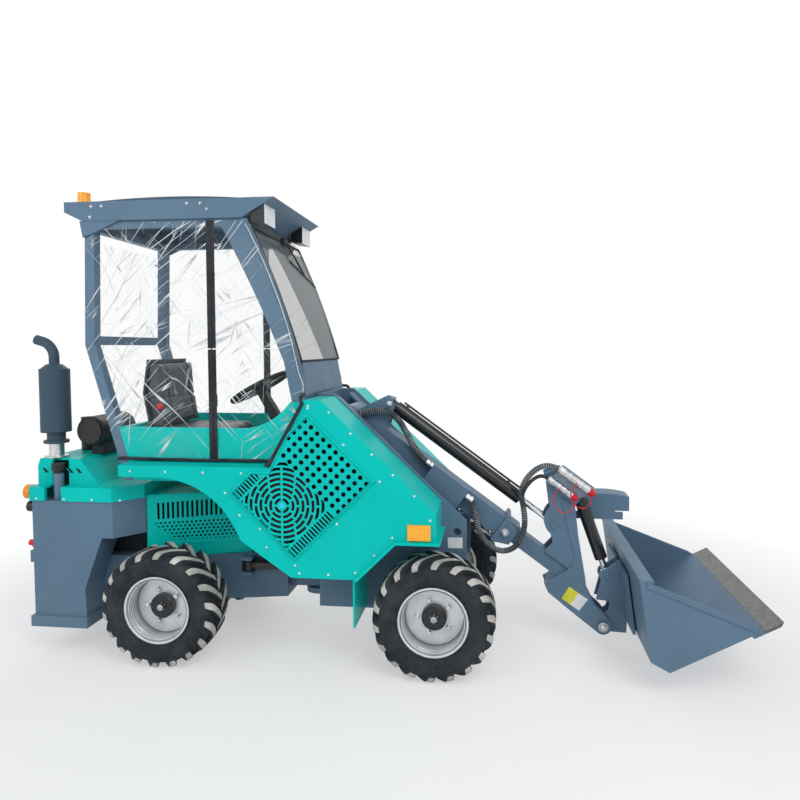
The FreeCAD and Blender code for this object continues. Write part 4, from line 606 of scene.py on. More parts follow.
def box(x, y, z, bevel):
    """A box between limits, with its corners rounded."""
    shape = bmesh.new()
    bmesh.ops.create_cube(shape, size=1.0)
    for vertex in shape.verts:
        vertex.co = Vector((x[0] + (vertex.co.x + 0.5) * (x[1] - x[0]),
                            y[0] + (vertex.co.y + 0.5) * (y[1] - y[0]),
                            z[0] + (vertex.co.z + 0.5) * (z[1] - z[0])))
    bmesh.ops.bevel(shape, geom=shape.edges[:], offset=bevel, segments=3, affect="EDGES",
                    profile=0.5)
    shape.verts.ensure_lookup_table()
    result = ([tuple(v.co) for v in shape.verts], [[v.index for v in f.verts] for f in shape.faces])
    shape.free()
    return result


def lathe(profile, around):
    """A shape turned about its own Y axis, from (radius, y) points."""
    points = [(radius * math.cos(turn), y, radius * math.sin(turn))
              for radius, y in profile for turn in angles(around)]
    return points, ring_faces(len(profile), around)


def mirrored(half):
    """A profile of (radius, y) points from y below 0 to y above it, given by its upper half."""
    return [(radius, -y) for radius, y in half] + half[::-1]


def tube(path, radius, around=8):
    """A round bar along points, with the same twist all the way and both ends closed."""
    path = [Vector(point) for point in path]
    points = []
    side = None
    for index, point in enumerate(path):
        ahead = path[min(index + 1, len(path) - 1)] - path[max(index - 1, 0)]
        ahead.normalize()
        if side is None:
            side = ahead.orthogonal().normalized()
        side = (side - ahead * side.dot(ahead)).normalized()
        up = ahead.cross(side)
        points += [point + (side * math.cos(turn) + up * math.sin(turn)) * radius
                   for turn in angles(around)]
    ends = [list(range(around)), list(range(len(points) - 1, len(points) - around - 1, -1))]
    return points, ring_faces(len(path), around) + ends


def facing(direction, place):
    """Turns a shape made along +Y to face a direction, and puts it in its place."""
    turn = Vector((0, 1, 0)).rotation_difference(Vector(direction)).to_matrix().to_4x4()
    return Matrix.Translation(Vector(place)) @ turn


def screw_head(radius):
    """A domed screw head with a washer, standing along +Y."""
    return lathe([(radius * 1.45, 0), (radius * 1.45, 1.0), (radius * 1.3, 1.4), (radius, 1.5),
                  (radius * 0.96, 3.0), (radius * 0.7, 4.4), (radius * 0.3, 4.9), (0.01, 5.0)], 16)


def hex_head(radius, height):
    """A hexagon head with its corners turned off, and a washer, standing along +Y."""
    points, faces = lathe([(radius * 1.35, 0), (radius * 1.35, 1.6), (radius * 0.9, 2.0)], 18)
    head = lathe([(radius, 1.8), (radius, height - 1.2), (radius * 0.88, height),
                  (radius * 0.01, height)], 6)
    start = len(points)
    return points + head[0], faces + [[start + i for i in face] for face in head[1]]


def heads(name, body, look, slot, head, places):
    """One piece made of many screws or bolts: places are (x, y, z, direction)."""
    shape = Shape()
    for x, y, z, direction in places:
        shape.add(*head, look, facing(direction, (x, y, z)))
    shape.piece(name, body, slot)


def between(start, end, count):
    """Evenly spaced places from one point to another."""
    return [tuple(a + (b - a) * i / (count - 1) for a, b in zip(start, end)) for i in range(count)]


# ---- wheels

CARCASS = mirrored([
    (157, 86), (172, 92), (190, 99), (199, 101.5), (200, 103.2), (204, 103.6), (205, 102.8),
    (228, 104.5), (229, 106), (236, 105.5), (237, 103), (248, 99), (257, 91), (264, 80), (268, 55),
    (270, 20)])
LUG_LINE = [  # (top across, top radius, root across, root radius, lead in degrees, half width)
    (-6, 292.0, -6, 272, 17.6, 16), (20, 291.9, 20, 272, 12.4, 18.5),
    (44, 291.4, 44, 271, 7.7, 20), (66, 290.2, 65, 269, 3.6, 20.5),
    (84, 287.0, 82, 264, 0.4, 20.5), (95, 280.0, 91, 257, -1.4, 20),
    (101.5, 269.0, 97, 250, -2.6, 18.5), (105.5, 256.0, 101, 243, -3.6, 16)]
LUGS = 18
RIM_FACE, HUB_CAP, HUB_SCREWS = 13, 47, 48
STUD_CIRCLE, STUDS = 82.55, 5


def lug(side, turn):
    """One bar of the tread, from the middle of the tyre over its shoulder."""
    points = []
    for top, top_radius, root, root_radius, lead, half in LUG_LINE:
        angle = turn + math.radians(lead)
        for across, radius, width in ((root, root_radius, -half - 5), (top, top_radius - 2, -half),
                                      (top, top_radius, -half + 2.5), (top, top_radius, half - 2.5),
                                      (top, top_radius - 2, half), (root, root_radius, half + 5)):
            place = angle + width / radius
            points.append((radius * math.sin(place), side * across, radius * math.cos(place)))
    stations = len(LUG_LINE)
    crown, flanks = [], []
    for index, face in enumerate(ring_faces(stations, 6)):
        (crown if index % 6 == 2 else flanks).append(face)
    flanks += [[5, 4, 3, 2, 1, 0], [6 * stations - 6 + i for i in range(6)]]
    return points, crown, flanks


def tyre(wheel):
    x, y = WHEELS[wheel]
    outward = 1 if y > 0 else -1
    move = Matrix.Translation(Vector((x, y, AXLE_Z)))
    shape = Shape().add(*lathe(CARCASS + CARCASS[:1], 120), "tyre", move)
    for side in (-1, 1):
        for step in range(LUGS):
            turn = 2 * math.pi * (step + (0.5 if side > 0 else 0.0)) / LUGS + 0.08
            points, crown, flanks = lug(side, turn)
            shape.add(points, crown, "lug", move)
            shape.add(points, flanks, "tyre", move)
    made = shape.piece("tread_" + wheel, "wheel_" + wheel, "tyre", angle=30)
    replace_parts(made, "tyre_" + wheel)
    wheel_trim(wheel, x, y, outward)


def wheel_trim(wheel, x, y, outward):
    """The rim's rubber lip, the hub's plug and screws, the studs and the valve."""
    def facing_out(across=0.0, out=0.0, up=0.0):
        return facing((0, outward, 0), (x + across, y + outward * out, AXLE_Z + up))

    lip = [(154, 78), (157, 88), (171.5, 95.2), (173, 95.4), (173, 97), (170, 97.2), (160, 92),
           (152, 80)]
    plug = [(0.01, 63.5), (13, 63), (17, 61), (17, 50), (22.6, 49), (22.6, 47.2)]
    trim = Shape().add(*lathe(lip, 96), "tyre", facing_out())
    trim.add(*lathe(plug, 6), "steel", facing_out())
    for turn in angles(6, 0.3):
        place = facing_out(HUB_SCREWS * math.cos(turn), HUB_CAP, HUB_SCREWS * math.sin(turn))
        trim.add(*screw_head(3.4), "plastic", place)
    for turn in angles(STUDS):
        across, up = outward * STUD_CIRCLE * math.cos(turn), STUD_CIRCLE * math.sin(turn)
        trim.add(*hex_head(12, 21), "zinc", facing_out(across, RIM_FACE, up))
    valve = [(x + 120, y + outward * RIM_FACE, AXLE_Z + 96),
             (x + 124, y + outward * 40, AXLE_Z + 99)]
    trim.add(*tube(valve, 4.2, 10), "plastic")
    trim.piece("wheel_trim_" + wheel, "wheel_" + wheel, "rim_paint")


# ---- pierced plates

def pierced(name, outline, holes, thickness, to_machine, body, replaced):
    """A flat sheet with holes in it, closed all round, laid on the machine by to_machine."""
    corners, rims = [], []
    for loop in [outline] + holes:
        rims.append(list(range(len(corners), len(corners) + len(loop))))
        corners += [Vector(point) for point in loop]
    flat, _, triangles, *_ = delaunay_2d_cdt(corners, [], rims, 2, 1e-4)
    count = len(flat)
    points = [to_machine(across, up, depth) for depth in (-thickness / 2, thickness / 2)
              for across, up in flat]
    sides = {(a, b) for face in triangles for a, b in zip(face, face[1:] + face[:1])}
    faces = [list(face)[::-1] for face in triangles]
    faces += [[count + i for i in face] for face in triangles]
    faces += [[a, b, count + b, count + a] for a, b in sorted(sides) if (b, a) not in sides]
    made = Shape().add(points, faces, "body").piece(name, body, "body_paint", smooth=False)
    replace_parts(made, *replaced)


def circle(across, up, radius, around=14):
    return [(across + radius * math.cos(turn), up + radius * math.sin(turn))
            for turn in angles(around)]


def slot_hole(low_a, high_a, low_b, high_b):
    """A slot with its corners cut."""
    cut = SLOT_CUT
    return [(low_a + cut, low_b), (high_a - cut, low_b), (high_a, low_b + cut),
            (high_a, high_b - cut), (high_a - cut, high_b), (low_a + cut, high_b),
            (low_a, high_b - cut), (low_a, low_b + cut)]


def arc_hole(middle_a, middle_b, inner, outer, start, end):
    """A slot bent around a middle."""
    steps = max(3, int((end - start) * outer / 12))
    turns = [start + (end - start) * i / steps for i in range(steps + 1)]
    rim = [(middle_a + outer * math.cos(t), middle_b + outer * math.sin(t)) for t in turns]
    return rim + [(middle_a + inner * math.cos(t), middle_b + inner * math.sin(t))
                  for t in reversed(turns)]


def clipped(loop, low_a, high_a, low_b, high_b):
    """The part of a hole inside a rectangle."""
    for axis, limit, sign in ((0, low_a, 1), (0, high_a, -1), (1, low_b, 1), (1, high_b, -1)):
        kept = []
        for here, after in zip(loop, loop[1:] + loop[:1]):
            here_in = sign * (here[axis] - limit) >= 0
            after_in = sign * (after[axis] - limit) >= 0
            if here_in:
                kept.append(here)
            if here_in != after_in:
                share = (limit - here[axis]) / (after[axis] - here[axis])
                kept.append(tuple(a + share * (b - a) for a, b in zip(here, after)))
        loop = kept
        if len(loop) < 3:
            return []
    return loop


def area(loop):
    return abs(sum(a[0] * b[1] - b[0] * a[1] for a, b in zip(loop, loop[1:] + loop[:1]))) / 2


HALF_SQUARE = math.sqrt(0.5)
FAN_A, FAN_B = 149, 223
FAN_PITCH, FAN_SLOT, FAN_WEB = 24, 14, 10.5
FAN_FIELD = (17, 310, 70, 382)
LEAST_HOLE = 60
HEM_MARGIN = 16
FAN_ARCS = (4, 6, 8, 10, 12, 14, 16, 16)
SLOT_PITCH, SLOT_WIDE, SLOT_CUT = 17.6, 9.5, 4
ROUND_PITCH_A, ROUND_PITCH_B, ROUND_RADIUS = 38, 41, 11.5


def from_grille(a, b):
    """Grille's own axes, a up and forwards, b down and forwards, to machine X and Z."""
    return (GRILLE_X + (a + b) * HALF_SQUARE, GRILLE_Z + (a - b) * HALF_SQUARE)


def to_grille(x, z):
    across, up = x - GRILLE_X, z - GRILLE_Z
    return ((across + up) * HALF_SQUARE, (across - up) * HALF_SQUARE)


def between_ends(low, high, z):
    """The X at a height on the line between two (x, z) ends."""
    return low[0] + (high[0] - low[0]) * (z - low[1]) / (high[1] - low[1])


def ledge_slant_x(z):
    """The slanted upper edge of the front panels at a height."""
    return between_ends((DIAG_LOW_X, LEDGE_Z), (DIAG_HIGH_X, DIAG_HIGH_Z), z)


def hidden_by_hem(a, b):
    """Whether a place on the grille lies under the cover's hem or behind the ledge."""
    x, z = from_grille(a, b)
    if z > LEDGE_Z:
        return x < ledge_slant_x(z) + HEM_MARGIN
    return z > LEDGE_Z - HEM_MARGIN and x < DIAG_LOW_X + 20


def grille_holes():
    """Two rows of slots, a field of round holes, and rings of arcs around the fan."""
    holes = []
    for count, low, high in ((13, 13, 60), (16, 391, 439)):
        for step in range(count):
            a = 17 + SLOT_PITCH * step
            holes.append(slot_hole(a, a + SLOT_WIDE, low, high))
    holes += [circle(325 + ROUND_PITCH_A * row, 21 + ROUND_PITCH_B * column, ROUND_RADIUS)
              for row in range(6) for column in range(11)]
    for ring, count in enumerate(FAN_ARCS):
        inner = 24 + FAN_PITCH * ring
        web = FAN_WEB / (inner + FAN_SLOT / 2)
        for step in range(count):
            start = 2 * math.pi * (step + 0.5 * (ring % 2)) / count + web / 2 + math.pi / 4
            hole = arc_hole(FAN_A, FAN_B, inner, inner + FAN_SLOT, start,
                            start + 2 * math.pi / count - web)
            hole = clipped(hole, *FAN_FIELD)
            if hole and area(hole) > LEAST_HOLE:
                holes.append(hole)
    return [hole for hole in holes if not any(hidden_by_hem(a, b) for a, b in hole)]


def grille_outline():
    """The same clipped square as the frame's grille, in the grille's own axes."""
    clip_z, ledge = LEDGE_Z + 158, LEDGE_Z - 14
    corners = [(GRILLE_X, GRILLE_Z), (GRILLE_X + GRILLE_FALL, GRILLE_Z - GRILLE_FALL),
               (GRILLE_X + GRILLE_FALL + GRILLE_CLIMB, GRILLE_Z - GRILLE_FALL + GRILLE_CLIMB),
               (GRILLE_X + GRILLE_CLIMB, GRILLE_Z + GRILLE_CLIMB),
               (GRILLE_X + clip_z - GRILLE_Z, clip_z), (DIAG_LOW_X + 12, ledge),
               (GRILLE_X + ledge - GRILLE_Z, ledge)]
    return [to_grille(x, z) for x, z in corners]


def inset(corners, margin):
    """An outline moved inwards by a margin, for corners listed either way round."""
    middle = [sum(part) / len(corners) for part in zip(*corners)]
    result = []
    befores, afters = corners[-1:] + corners[:-1], corners[1:] + corners[:1]
    for before, corner, after in zip(befores, corners, afters):
        normals = []
        for start, end in ((before, corner), (corner, after)):
            run, rise = end[0] - start[0], end[1] - start[1]
            long = math.hypot(run, rise)
            normal = (-rise / long, run / long)
            inward = normal[0] * (middle[0] - start[0]) + normal[1] * (middle[1] - start[1])
            normals.append(normal if inward > 0 else (-normal[0], -normal[1]))
        (ax, ay), (bx, by) = normals
        share = margin / max(0.35, 1 + ax * bx + ay * by)
        result.append((corner[0] + (ax + bx) * share, corner[1] + (ay + by) * share))
    return result


def grille(side_name, replaced):
    side = SIDES[side_name]
    outer = grille_outline()
    face = inset(outer, 12)

    def lay(a, b, depth):
        x, z = from_grille(a, b)
        return (x, side * (BODY_Y + GRILLE_RISE - 1 + depth), z)

    pierced("grille_" + side_name, face, grille_holes(), 2.0, lay, "front_frame", replaced)
    steps = ((0, 0.4 - GRILLE_RISE), (3, -3), (10, 0), (14, 0), (14, -4))
    points = [lay(a, b, rise + 1) for margin, rise in steps for a, b in inset(outer, margin)]
    rim = Shape().add(points, ring_faces(len(steps), len(outer)), "body")
    rim.piece("grille_rim_" + side_name, "front_frame", "body_paint", angle=25)


def grille_shade_sheet(side_name):
    """A near-black sheet just behind the pierced grille: painted shade in place of the radiator and
    duct seen through it.
    """
    side = SIDES[side_name]
    outline = [from_grille(a, b) for a, b in inset(grille_outline(), 15)]
    shape = Shape().add(*prism(outline, *stretch_of_y(side, BODY_Y - 30, BODY_Y - 27)), "dark")
    shape.piece("grille_shade_sheet_" + side_name, "front_frame", "black_plastic", smooth=False)


def engine_bay_painted_shade():
    """A near-black box just behind the engine bay's pierced panels: painted shade for the bay's
    inside.
    """
    corners = [(-826, -262), (-356, -98), (-356, 98), (-826, 262)]
    points = [(x, y, z) for z in (484, 796) for x, y in corners]
    faces = [[3, 2, 1, 0], [4, 5, 6, 7]] + ring_faces(2, 4)
    Shape().add(points, faces, "dark").piece("engine_bay_painted_shade", "rear_frame", "black_plastic",
                                             smooth=False)


def fan_hub(side_name):
    x, z = from_grille(FAN_A, FAN_B)
    front = BODY_Y + GRILLE_RISE
    wide = stretch_of_y(SIDES[side_name], front - 3, front + 1.5)
    shape = Shape().add(*box((x - 12, x + 12), wide, (z - 12, z + 12), 2), "hub_blue")
    shape.piece("fan_hub_" + side_name, "front_frame", "body_paint")


def vent(side_name, replaced):
    """The pierced side panel of the engine bay: slots above a field of round holes."""
    side = SIDES[side_name]
    start, end = Vector((-841.7, 288)), Vector((-345, 122))
    along = (end - start).normalized()
    long = (end - start).length
    low, high = 535, 797

    def lay(u, z, depth):
        x, y = start + along * u
        return (x, side * (y + 2.0 + depth), z)

    outline = [(20, low + 95), (130, low), (long - 25, low), (long - 25, high), (20, high)]
    holes = []
    for step in range(17):
        u = 52 + 24 * step
        foot = 672 + 0.03 * u
        holes.append(slot_hole(u, u + 12, foot, foot + 88))
    for row in range(6):
        z = 654 - 19 * row
        for column in range(20):
            u = 46 + 22 * column + (11 if row % 2 else 0)
            if 40 + (640 - z) * 0.9 < u < long - 46:
                holes.append(circle(u, z, 6.2, 10))
    pierced("vent_" + side_name, outline, holes, 2.4, lay, "rear_frame", replaced)


# ---- clear covers

REAR_FOOT = (-903, 900)
REAR_KNEE = (-1102, 1584)
REAR_HEAD = (-1087, 2200)
COWL_X, COWL_Z = 40, 1340
SCREEN_FOOT = (5, 1499)
SCREEN_HEAD = (-258, 2200)
COVER_BULGE, GLASS_BULGE, GLASS_AHEAD = 118.8, 70, 12
ROOF_LOW = 2200


def rear_post_x(z):
    """Outer edge of the rear post at a height."""
    if z < REAR_KNEE[1]:
        return between_ends(REAR_FOOT, REAR_KNEE, z)
    return between_ends(REAR_KNEE, REAR_HEAD, z)


def on_screen(z, bulge):
    """The X at a height on a curve that swells forwards between the screen's foot and head."""
    share = (z - SCREEN_FOOT[1]) / (SCREEN_HEAD[1] - SCREEN_FOOT[1])
    return between_ends(SCREEN_FOOT, SCREEN_HEAD, z) + bulge * share * (1 - share)


def screen_x(z):
    """Where the windscreen stands at a height."""
    return on_screen(z, GLASS_BULGE) + GLASS_AHEAD


def front_edge_x(z):
    """Front edge of the side covers at a height: the ledge's slant, the cowl and the screen."""
    if z < DIAG_HIGH_Z - 20:
        return between_ends((DIAG_LOW_X, LEDGE_Z), (DIAG_HIGH_X - 20, DIAG_HIGH_Z - 20), z)
    if z < SCREEN_FOOT[1]:
        return between_ends((COWL_X, COWL_Z), SCREEN_FOOT, max(z, COWL_Z))
    return on_screen(z, COVER_BULGE)


def slack(u, v, seed):
    """How far the film billows, from 0 at its edges to a few millimetres in its middle."""
    hold = min(1.0, 6 * u * (1 - u)) * min(1.0, 6 * v * (1 - v))
    place = Vector((u * 2.2 + seed, v * 3.1, seed * 0.7))
    ripple = field.noise(place) + 0.45 * field.noise(place * 2.7) + 0.2 * field.noise(place * 6.3)
    return hold * ripple


def film(name, lay, columns, rows):
    """A clear sheet laid over a grid of (across, up) shares."""
    points = [lay(i / columns, j / rows) for j in range(rows + 1) for i in range(columns + 1)]
    shape = Shape().add(points, ring_faces(rows + 1, columns + 1, closed=False), "film")
    made = shape.piece(name, "front_frame", "clear_cover", angle=80)
    return made


def side_cover(side_name):
    side = SIDES[side_name]

    def lay(u, v):
        z = LEDGE_Z + 2 + v * (ROOF_LOW - 12 - LEDGE_Z)
        x = rear_post_x(z) - 3 + u * (front_edge_x(z) - rear_post_x(z) + 1)
        return (x, side * (CAB_Y + 3.0 + 1.6 * slack(u, v, side * 3.0)), z)

    return film("side_cover_" + side_name, lay, 60, 70)


def back_cover():
    low, high = 1055, 2112

    def lay(u, v):
        z = low + v * (high - low)
        return (rear_post_x(z) - 2.2 + 1.4 * slack(u, v, 9.0), CAB_Y * (2 * u - 1), z)

    film("rear_cover", lay, 40, 60)


def hem(name, path, radius, look="hem"):
    Shape().add(*tube(path, radius, 10), look).piece(name, "front_frame", "hose_rubber", angle=80)


def wavy(path, steps, sway, seed, axis=0):
    """The same path in small steps, with the slight sway of sewn tape."""
    result = []
    for start, end in zip(path, path[1:]):
        for step in range(steps):
            point = [a + (b - a) * step / steps for a, b in zip(start, end)]
            point[axis] += sway * field.noise(Vector((point[0] * 0.012, point[2] * 0.012, seed)))
            result.append(point)
    return result + [path[-1]]


def hems(side_name):
    """The dark tape around a side cover, and the zip that splits it."""
    side = SIDES[side_name]
    y = side * (CAB_Y + 9)
    low_z = LEDGE_Z + 12
    low = [(rear_post_x(low_z) + 2, y, low_z), (-450, y, low_z - 2), (DIAG_LOW_X - 10, y, low_z)]
    slant = [(DIAG_LOW_X - 12, y, low_z), (DIAG_LOW_X - 6, side * (BODY_Y - 30), low_z - 2)]
    slant += [(ledge_slant_x(z) + 9, side * (BODY_Y + 6), z)
              for z in (1014, 1090, 1170, 1250, 1306)]
    slant += [(46, side * (BODY_Y - 40), 1334), (32, y, 1342)]
    front = [(28, y, 1310), (30, y, 1390)]
    front += [(front_edge_x(z) - 8, y, z) for z in range(1450, 2180, 40)]
    zipper = [(-430, y, low_z), (-432, y, 1600), (-430, y, 2188)]
    hem("hem_low_" + side_name, wavy(low, 12, 3, 1.0, 2), 8)
    hem("hem_slant_" + side_name, smoothed(wavy(slant, 2, 3, 2.0)), 9)
    hem("hem_front_" + side_name, wavy(front, 3, 2, 3.0), 2.4, "film_edge")
    tape = Shape()
    thick = stretch_of_y(side, CAB_Y + 5, CAB_Y + 7.5)
    for foot_and_head in ((1016, 1560), (1566, 2190)):
        tape.add(*box((-452, -410), thick, foot_and_head, 0.8), "hem")
    tape.add(*tube(wavy(zipper, 40, 1.5, 4.0), 3.2), "plastic")
    tape.piece("zip_" + side_name, "front_frame", "hose_rubber")


# ---- hoses

BOOM_HOSE = [  # (along the boom, above it)
    (37.9, 34.3), (69, 64), (105, 108), (165, 140), (240, 132), (312, 96), (384, 64), (440, 42),
    (515.7, 42)]
COUPLER_HOSE = [  # (along the boom, across, above it)
    (742.4, 0, 24), (784, 0, 24), (822, -1, -4), (862, -3, -46), (914, -5, -88), (990, -6, -114),
    (1066, -5, -101), (1108, -3, -44), (1104, 0, 27), (1077, 0, 90), (1029, 0, 146), (975, 0, 194),
    (944, 2, 248), (942, 5, 312), (958, 9, 372), (994, 12, 412), (1041, 14, 423)]
BRANCH_HOSE = [  # (along the boom, above it, across), from the sleeve's bend to the lower coupler
    (985, 186, -97), (969, 214, -108), (962, 256, -112), (968, 306, -104), (990, 342, -92),
    (1022, 352, -86), (1044, 352, -85)]
BOOM_HOSE_Y, COUPLER_HOSE_Y = -84, -99
RIB_PITCH = 12


def cord_curve(name, route, radius):
    """A smooth hose through its route: a spline with the route's places as its control points."""
    curve = bpy.data.curves.new(name, "CURVE")
    curve.dimensions = "3D"
    curve.bevel_depth = radius / 1000
    curve.bevel_resolution = 5
    curve.resolution_u = 12
    line = curve.splines.new("NURBS")
    line.points.add(len(route) - 1)
    for point, place in zip(line.points, route):
        point.co = (*at(*place), 1)
    line.order_u = 3
    line.use_endpoint_u = True
    curve.materials.append(finish["hose"])
    return placed(name, curve)


def spline_places(cord):
    """Points read from a cord's own spline, in millimetres from the pivot."""
    bare = cord.data.copy()
    bare.bevel_depth = 0
    stand_in = placed("stand_in", bare)
    bpy.context.view_layer.update()
    ready = stand_in.evaluated_get(bpy.context.evaluated_depsgraph_get())
    line = bpy.data.meshes.new_from_object(ready)
    places = [((v.co.x - pivot_x) * 1000, v.co.y * 1000, v.co.z * 1000) for v in line.vertices]
    bpy.data.objects.remove(stand_in)
    bpy.data.curves.remove(bare)
    bpy.data.meshes.remove(line)
    return places


def length_along(places):
    return sum((Vector(b) - Vector(a)).length for a, b in zip(places, places[1:])) / 1000


def sleeve_rings(name, places, radius, body):
    """The raised ribs of a corrugated sleeve, following the hose's own line."""
    shape = Shape()
    foot, crest = radius - 0.4, radius + 2.3
    rib = lathe(mirrored([(foot, 3.4), (crest, 2.0)]), 20)
    gone, wanted = 0.0, RIB_PITCH
    for start, end in zip(places, places[1:]):
        run = Vector(end) - Vector(start)
        while gone + run.length >= wanted:
            place = Vector(start) + run * ((wanted - gone) / run.length)
            shape.add(*rib, "rib", facing(run.normalized(), place))
            wanted += RIB_PITCH
        gone += run.length
    return shape.piece(name, body, "hose_rubber", angle=80)


def hose(name, route, radius, body, replaced=None):
    """A hose through its route; one that stands for a frame's hose has a ribbed sleeve."""
    cord = cord_curve(name + "_sleeve", route, radius)
    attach(cord, body)
    places = spline_places(cord)
    if replaced:
        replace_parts(cord, replaced)
        sleeve_rings(name + "_ribs", places, radius, body)
    at(*route[0])
    length_along(places)


def hoses():
    hose("boom_hose", [on_boom(s, n, BOOM_HOSE_Y) for s, n in BOOM_HOSE], 15.5, "boom", "boom_hose")
    hose("coupler_hose", [on_boom(s, n, COUPLER_HOSE_Y + y) for s, y, n in COUPLER_HOSE], 13.5,
         "boom_extension", "coupler_hose")
    hose("branch_hose", [on_boom(*place) for place in BRANCH_HOSE], 9.5, "boom_extension")


# ---- screws and bolts

def panel_screws(side_name):
    side = SIDES[side_name]
    corners = [from_grille(a, b) for a, b in inset(grille_outline(), -14)]
    places = [
        (640, 700), (664, 770), (590, 882), (490, 978), (392, 1072), (292, 1168), (190, 1266),
        (90, 1296), (-800, 972), (-620, 972), (-430, 972), (-240, 972), (-150, 958), (-250, 770),
        (-120, 620), (40, 500), (180, 498), (310, 512), (400, 598), (486, 684), (560, 672)]
    for start, end in zip(corners, corners[1:4]):
        places += between(start, end, 3)
    screws("panel_screws_" + side_name, "front_frame", side, BODY_Y + 0.3, places)
    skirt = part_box("engine_hood")[1].y * 1000 + 0.3
    screws("hood_screws_" + side_name, "rear_frame", side, skirt,
           [(x, 808) for x in (-1350, -1200, -1050, -900)])


def screws(name, body, side, y, places):
    """White screw heads on one side of the machine, at (x, z) places."""
    heads(name, body, "white", "body_paint", screw_head(3.9),
          [(x, side * y, z, (0, side, 0)) for x, z in places])


def roof_bolts(side_name):
    side = SIDES[side_name]
    places = [(x, side * 385.3, z, (0, side, 0)) for x, z in (
        (-1040, 2270), (-1047, 2218), (-985, 2270), (-541, 2273), (-473, 2272), (-440, 2243))]
    heads("roof_bolts_" + side_name, "front_frame", "steel", "frame_paint", hex_head(6.5, 6),
          places)


def boom_bolts():
    places = [(*on_boom(136, 167, side * 56.3), (0, side, 0)) for side in (-1, 1)]
    heads("boom_pin_bolts", "boom", "zinc", "frame_paint", hex_head(11, 8), places)


# ---- small trim

ALONG_BOOM = Vector(on_boom(1, 0)) - Vector(on_boom(0, 0))
COUPLER_Y = -85
COUPLERS = [(1045, 1235, 424, 19), (1030, 1180, 352, 17)]  # (start, end, height, radius)


def coupler_trim():
    """Collars, red dust caps and the caps' tethers on the two hydraulic couplers."""
    shape = Shape()
    for start, end, n, radius in COUPLERS:
        skin, crest = radius - 1, radius + 2.6
        for s, wide in ((start + 22, 14), (start + 66, 9), (end - 52, 9), (end - 16, 14)):
            ring = lathe(mirrored([(skin, wide), (crest, wide - 2)]), 28)
            shape.add(*ring, "zinc", facing(ALONG_BOOM, on_boom(s, n, COUPLER_Y)))
        cap = [(skin, -2), (radius + 2, 0), (radius + 2, 12), (radius - 2, 20), (radius - 4, 32),
               (0.01, 34)]
        shape.add(*lathe(cap, 28), "red", facing(ALONG_BOOM, on_boom(end, n, COUPLER_Y)))
        loop = [(10, -12, 3), (34, -44, -4), (22, -86, -8), (-24, -98, -8), (-66, -70, -5),
                (-78, -34, 0), (-74, -4, 3)]
        path = smoothed([(end + s, n + up, COUPLER_Y - radius - 5 + y) for s, up, y in loop])
        shape.add(*tube([on_boom(*place) for place in path], 2.6), "red")
    shape.piece("coupler_caps", "boom_extension", "black_plastic")


def smoothed(path):
    """A path with rounded turns through the same places, six steps to each stretch."""
    path = [Vector(point) for point in path]
    ends = [path[0] * 2 - path[1]] + path + [path[-1] * 2 - path[-2]]
    result = []
    for a, b, c, d in zip(ends, ends[1:], ends[2:], ends[3:]):
        for step in range(6):
            t = step / 6
            result.append(0.5 * (b * 2 + (c - a) * t + (a * 2 - b * 5 + c * 4 - d) * t * t
                                 + (b * 3 - a - c * 3 + d) * t * t * t))
    return result + [path[-1]]


def hose_collars():
    """Crimped ferrules where the hoses enter their guard."""
    ferrule = mirrored([(15, 22), (19.5, 20), (19.5, 6), (17.5, 4)])
    for name, body, place in (("boom_hose", "boom", (496, 42, BOOM_HOSE_Y)),
                              ("coupler_hose", "boom_extension", (766, 24, COUPLER_HOSE_Y))):
        shape = Shape().add(*lathe(ferrule, 24), "zinc", facing(ALONG_BOOM, on_boom(*place)))
        shape.piece(name + "_ferrule", body, "pin_steel")


def hood_louvres(side_name):
    """Slanted slots pressed into the side of the hood, each with a lip above it; each slot is a
    near-black plate, painted shade for the slot's inside.
    """
    side = SIDES[side_name]
    wide = stretch_of_y(side, 360.2, 361.2)
    slots, lips = Shape(), Shape()
    for x in range(-1366, -1181, 46):
        # near-black plates: painted shade inside each slot
        slots.add(*prism([(x, 951), (x + 17, 951), (x + 38, 928), (x + 21, 928)], *wide), "dark")
        lips.add(*tube([(x - 1, side * 361, 952), (x + 20, side * 361.5, 929)], 2.0), "body")
    slots.piece("hood_slots_" + side_name, "rear_frame", "black_plastic", smooth=False)
    lips.piece("hood_lips_" + side_name, "rear_frame", "body_paint")


def blank_plates():
    """Plates with nothing on them, where the machine carries its stickers."""
    shape = Shape()
    shape.add(*prism([(722, 613), (798, 615), (798, 560), (725, 558)], -232.2, -230.9), "white")
    shape.piece("blank_plate_chassis", "front_frame", "frame_paint", smooth=False)
    top, upper, right, low, lower, left = (
        (1344, 323), (1392.5, 290.5), (1441, 258), (1396, 196), (1350.5, 227.5), (1305, 259))
    shape = Shape().add(*prism([top, upper, lower, left], -64.4, -62.9), "yellow")
    shape.add(*prism([upper, right, low, lower], -64.4, -62.9), "white")
    shape.piece("blank_plate_nose", "boom_extension", "frame_paint", smooth=False)


def bucket_strips():
    """The folded strip along the top of each bucket side."""
    shape = Shape()
    for side in SIDES.values():
        strip = [(1632, 528), (2112, 345), (2112, 319), (1632, 502)]
        shape.add(*prism(strip, *stretch_of_y(side, 524.5, 530.5)), "bucket")
    shape.piece("bucket_side_strips", "bucket_carrier", "frame_paint", smooth=False)


def pin_washers():
    """Large washers and bolts on the pins that show from the side."""
    for name, body, s, n, y, wide in (("nose_pin_washer", "boom_extension", 1720, -105, 71.3, 27),
                                      ("boom_boss_washer", "boom", 1023, -13, 80.3, 21)):
        shape = Shape()
        for side in SIDES.values():
            place = facing((0, side, 0), on_boom(s, n, side * y))
            shape.add(*lathe([(wide, 0), (wide, 4), (wide - 2, 5), (0.01, 5)], 32), "steel", place)
            shape.add(*hex_head(wide * 0.55, 15), "zinc", place)
        shape.piece(name, body, "pin_steel")


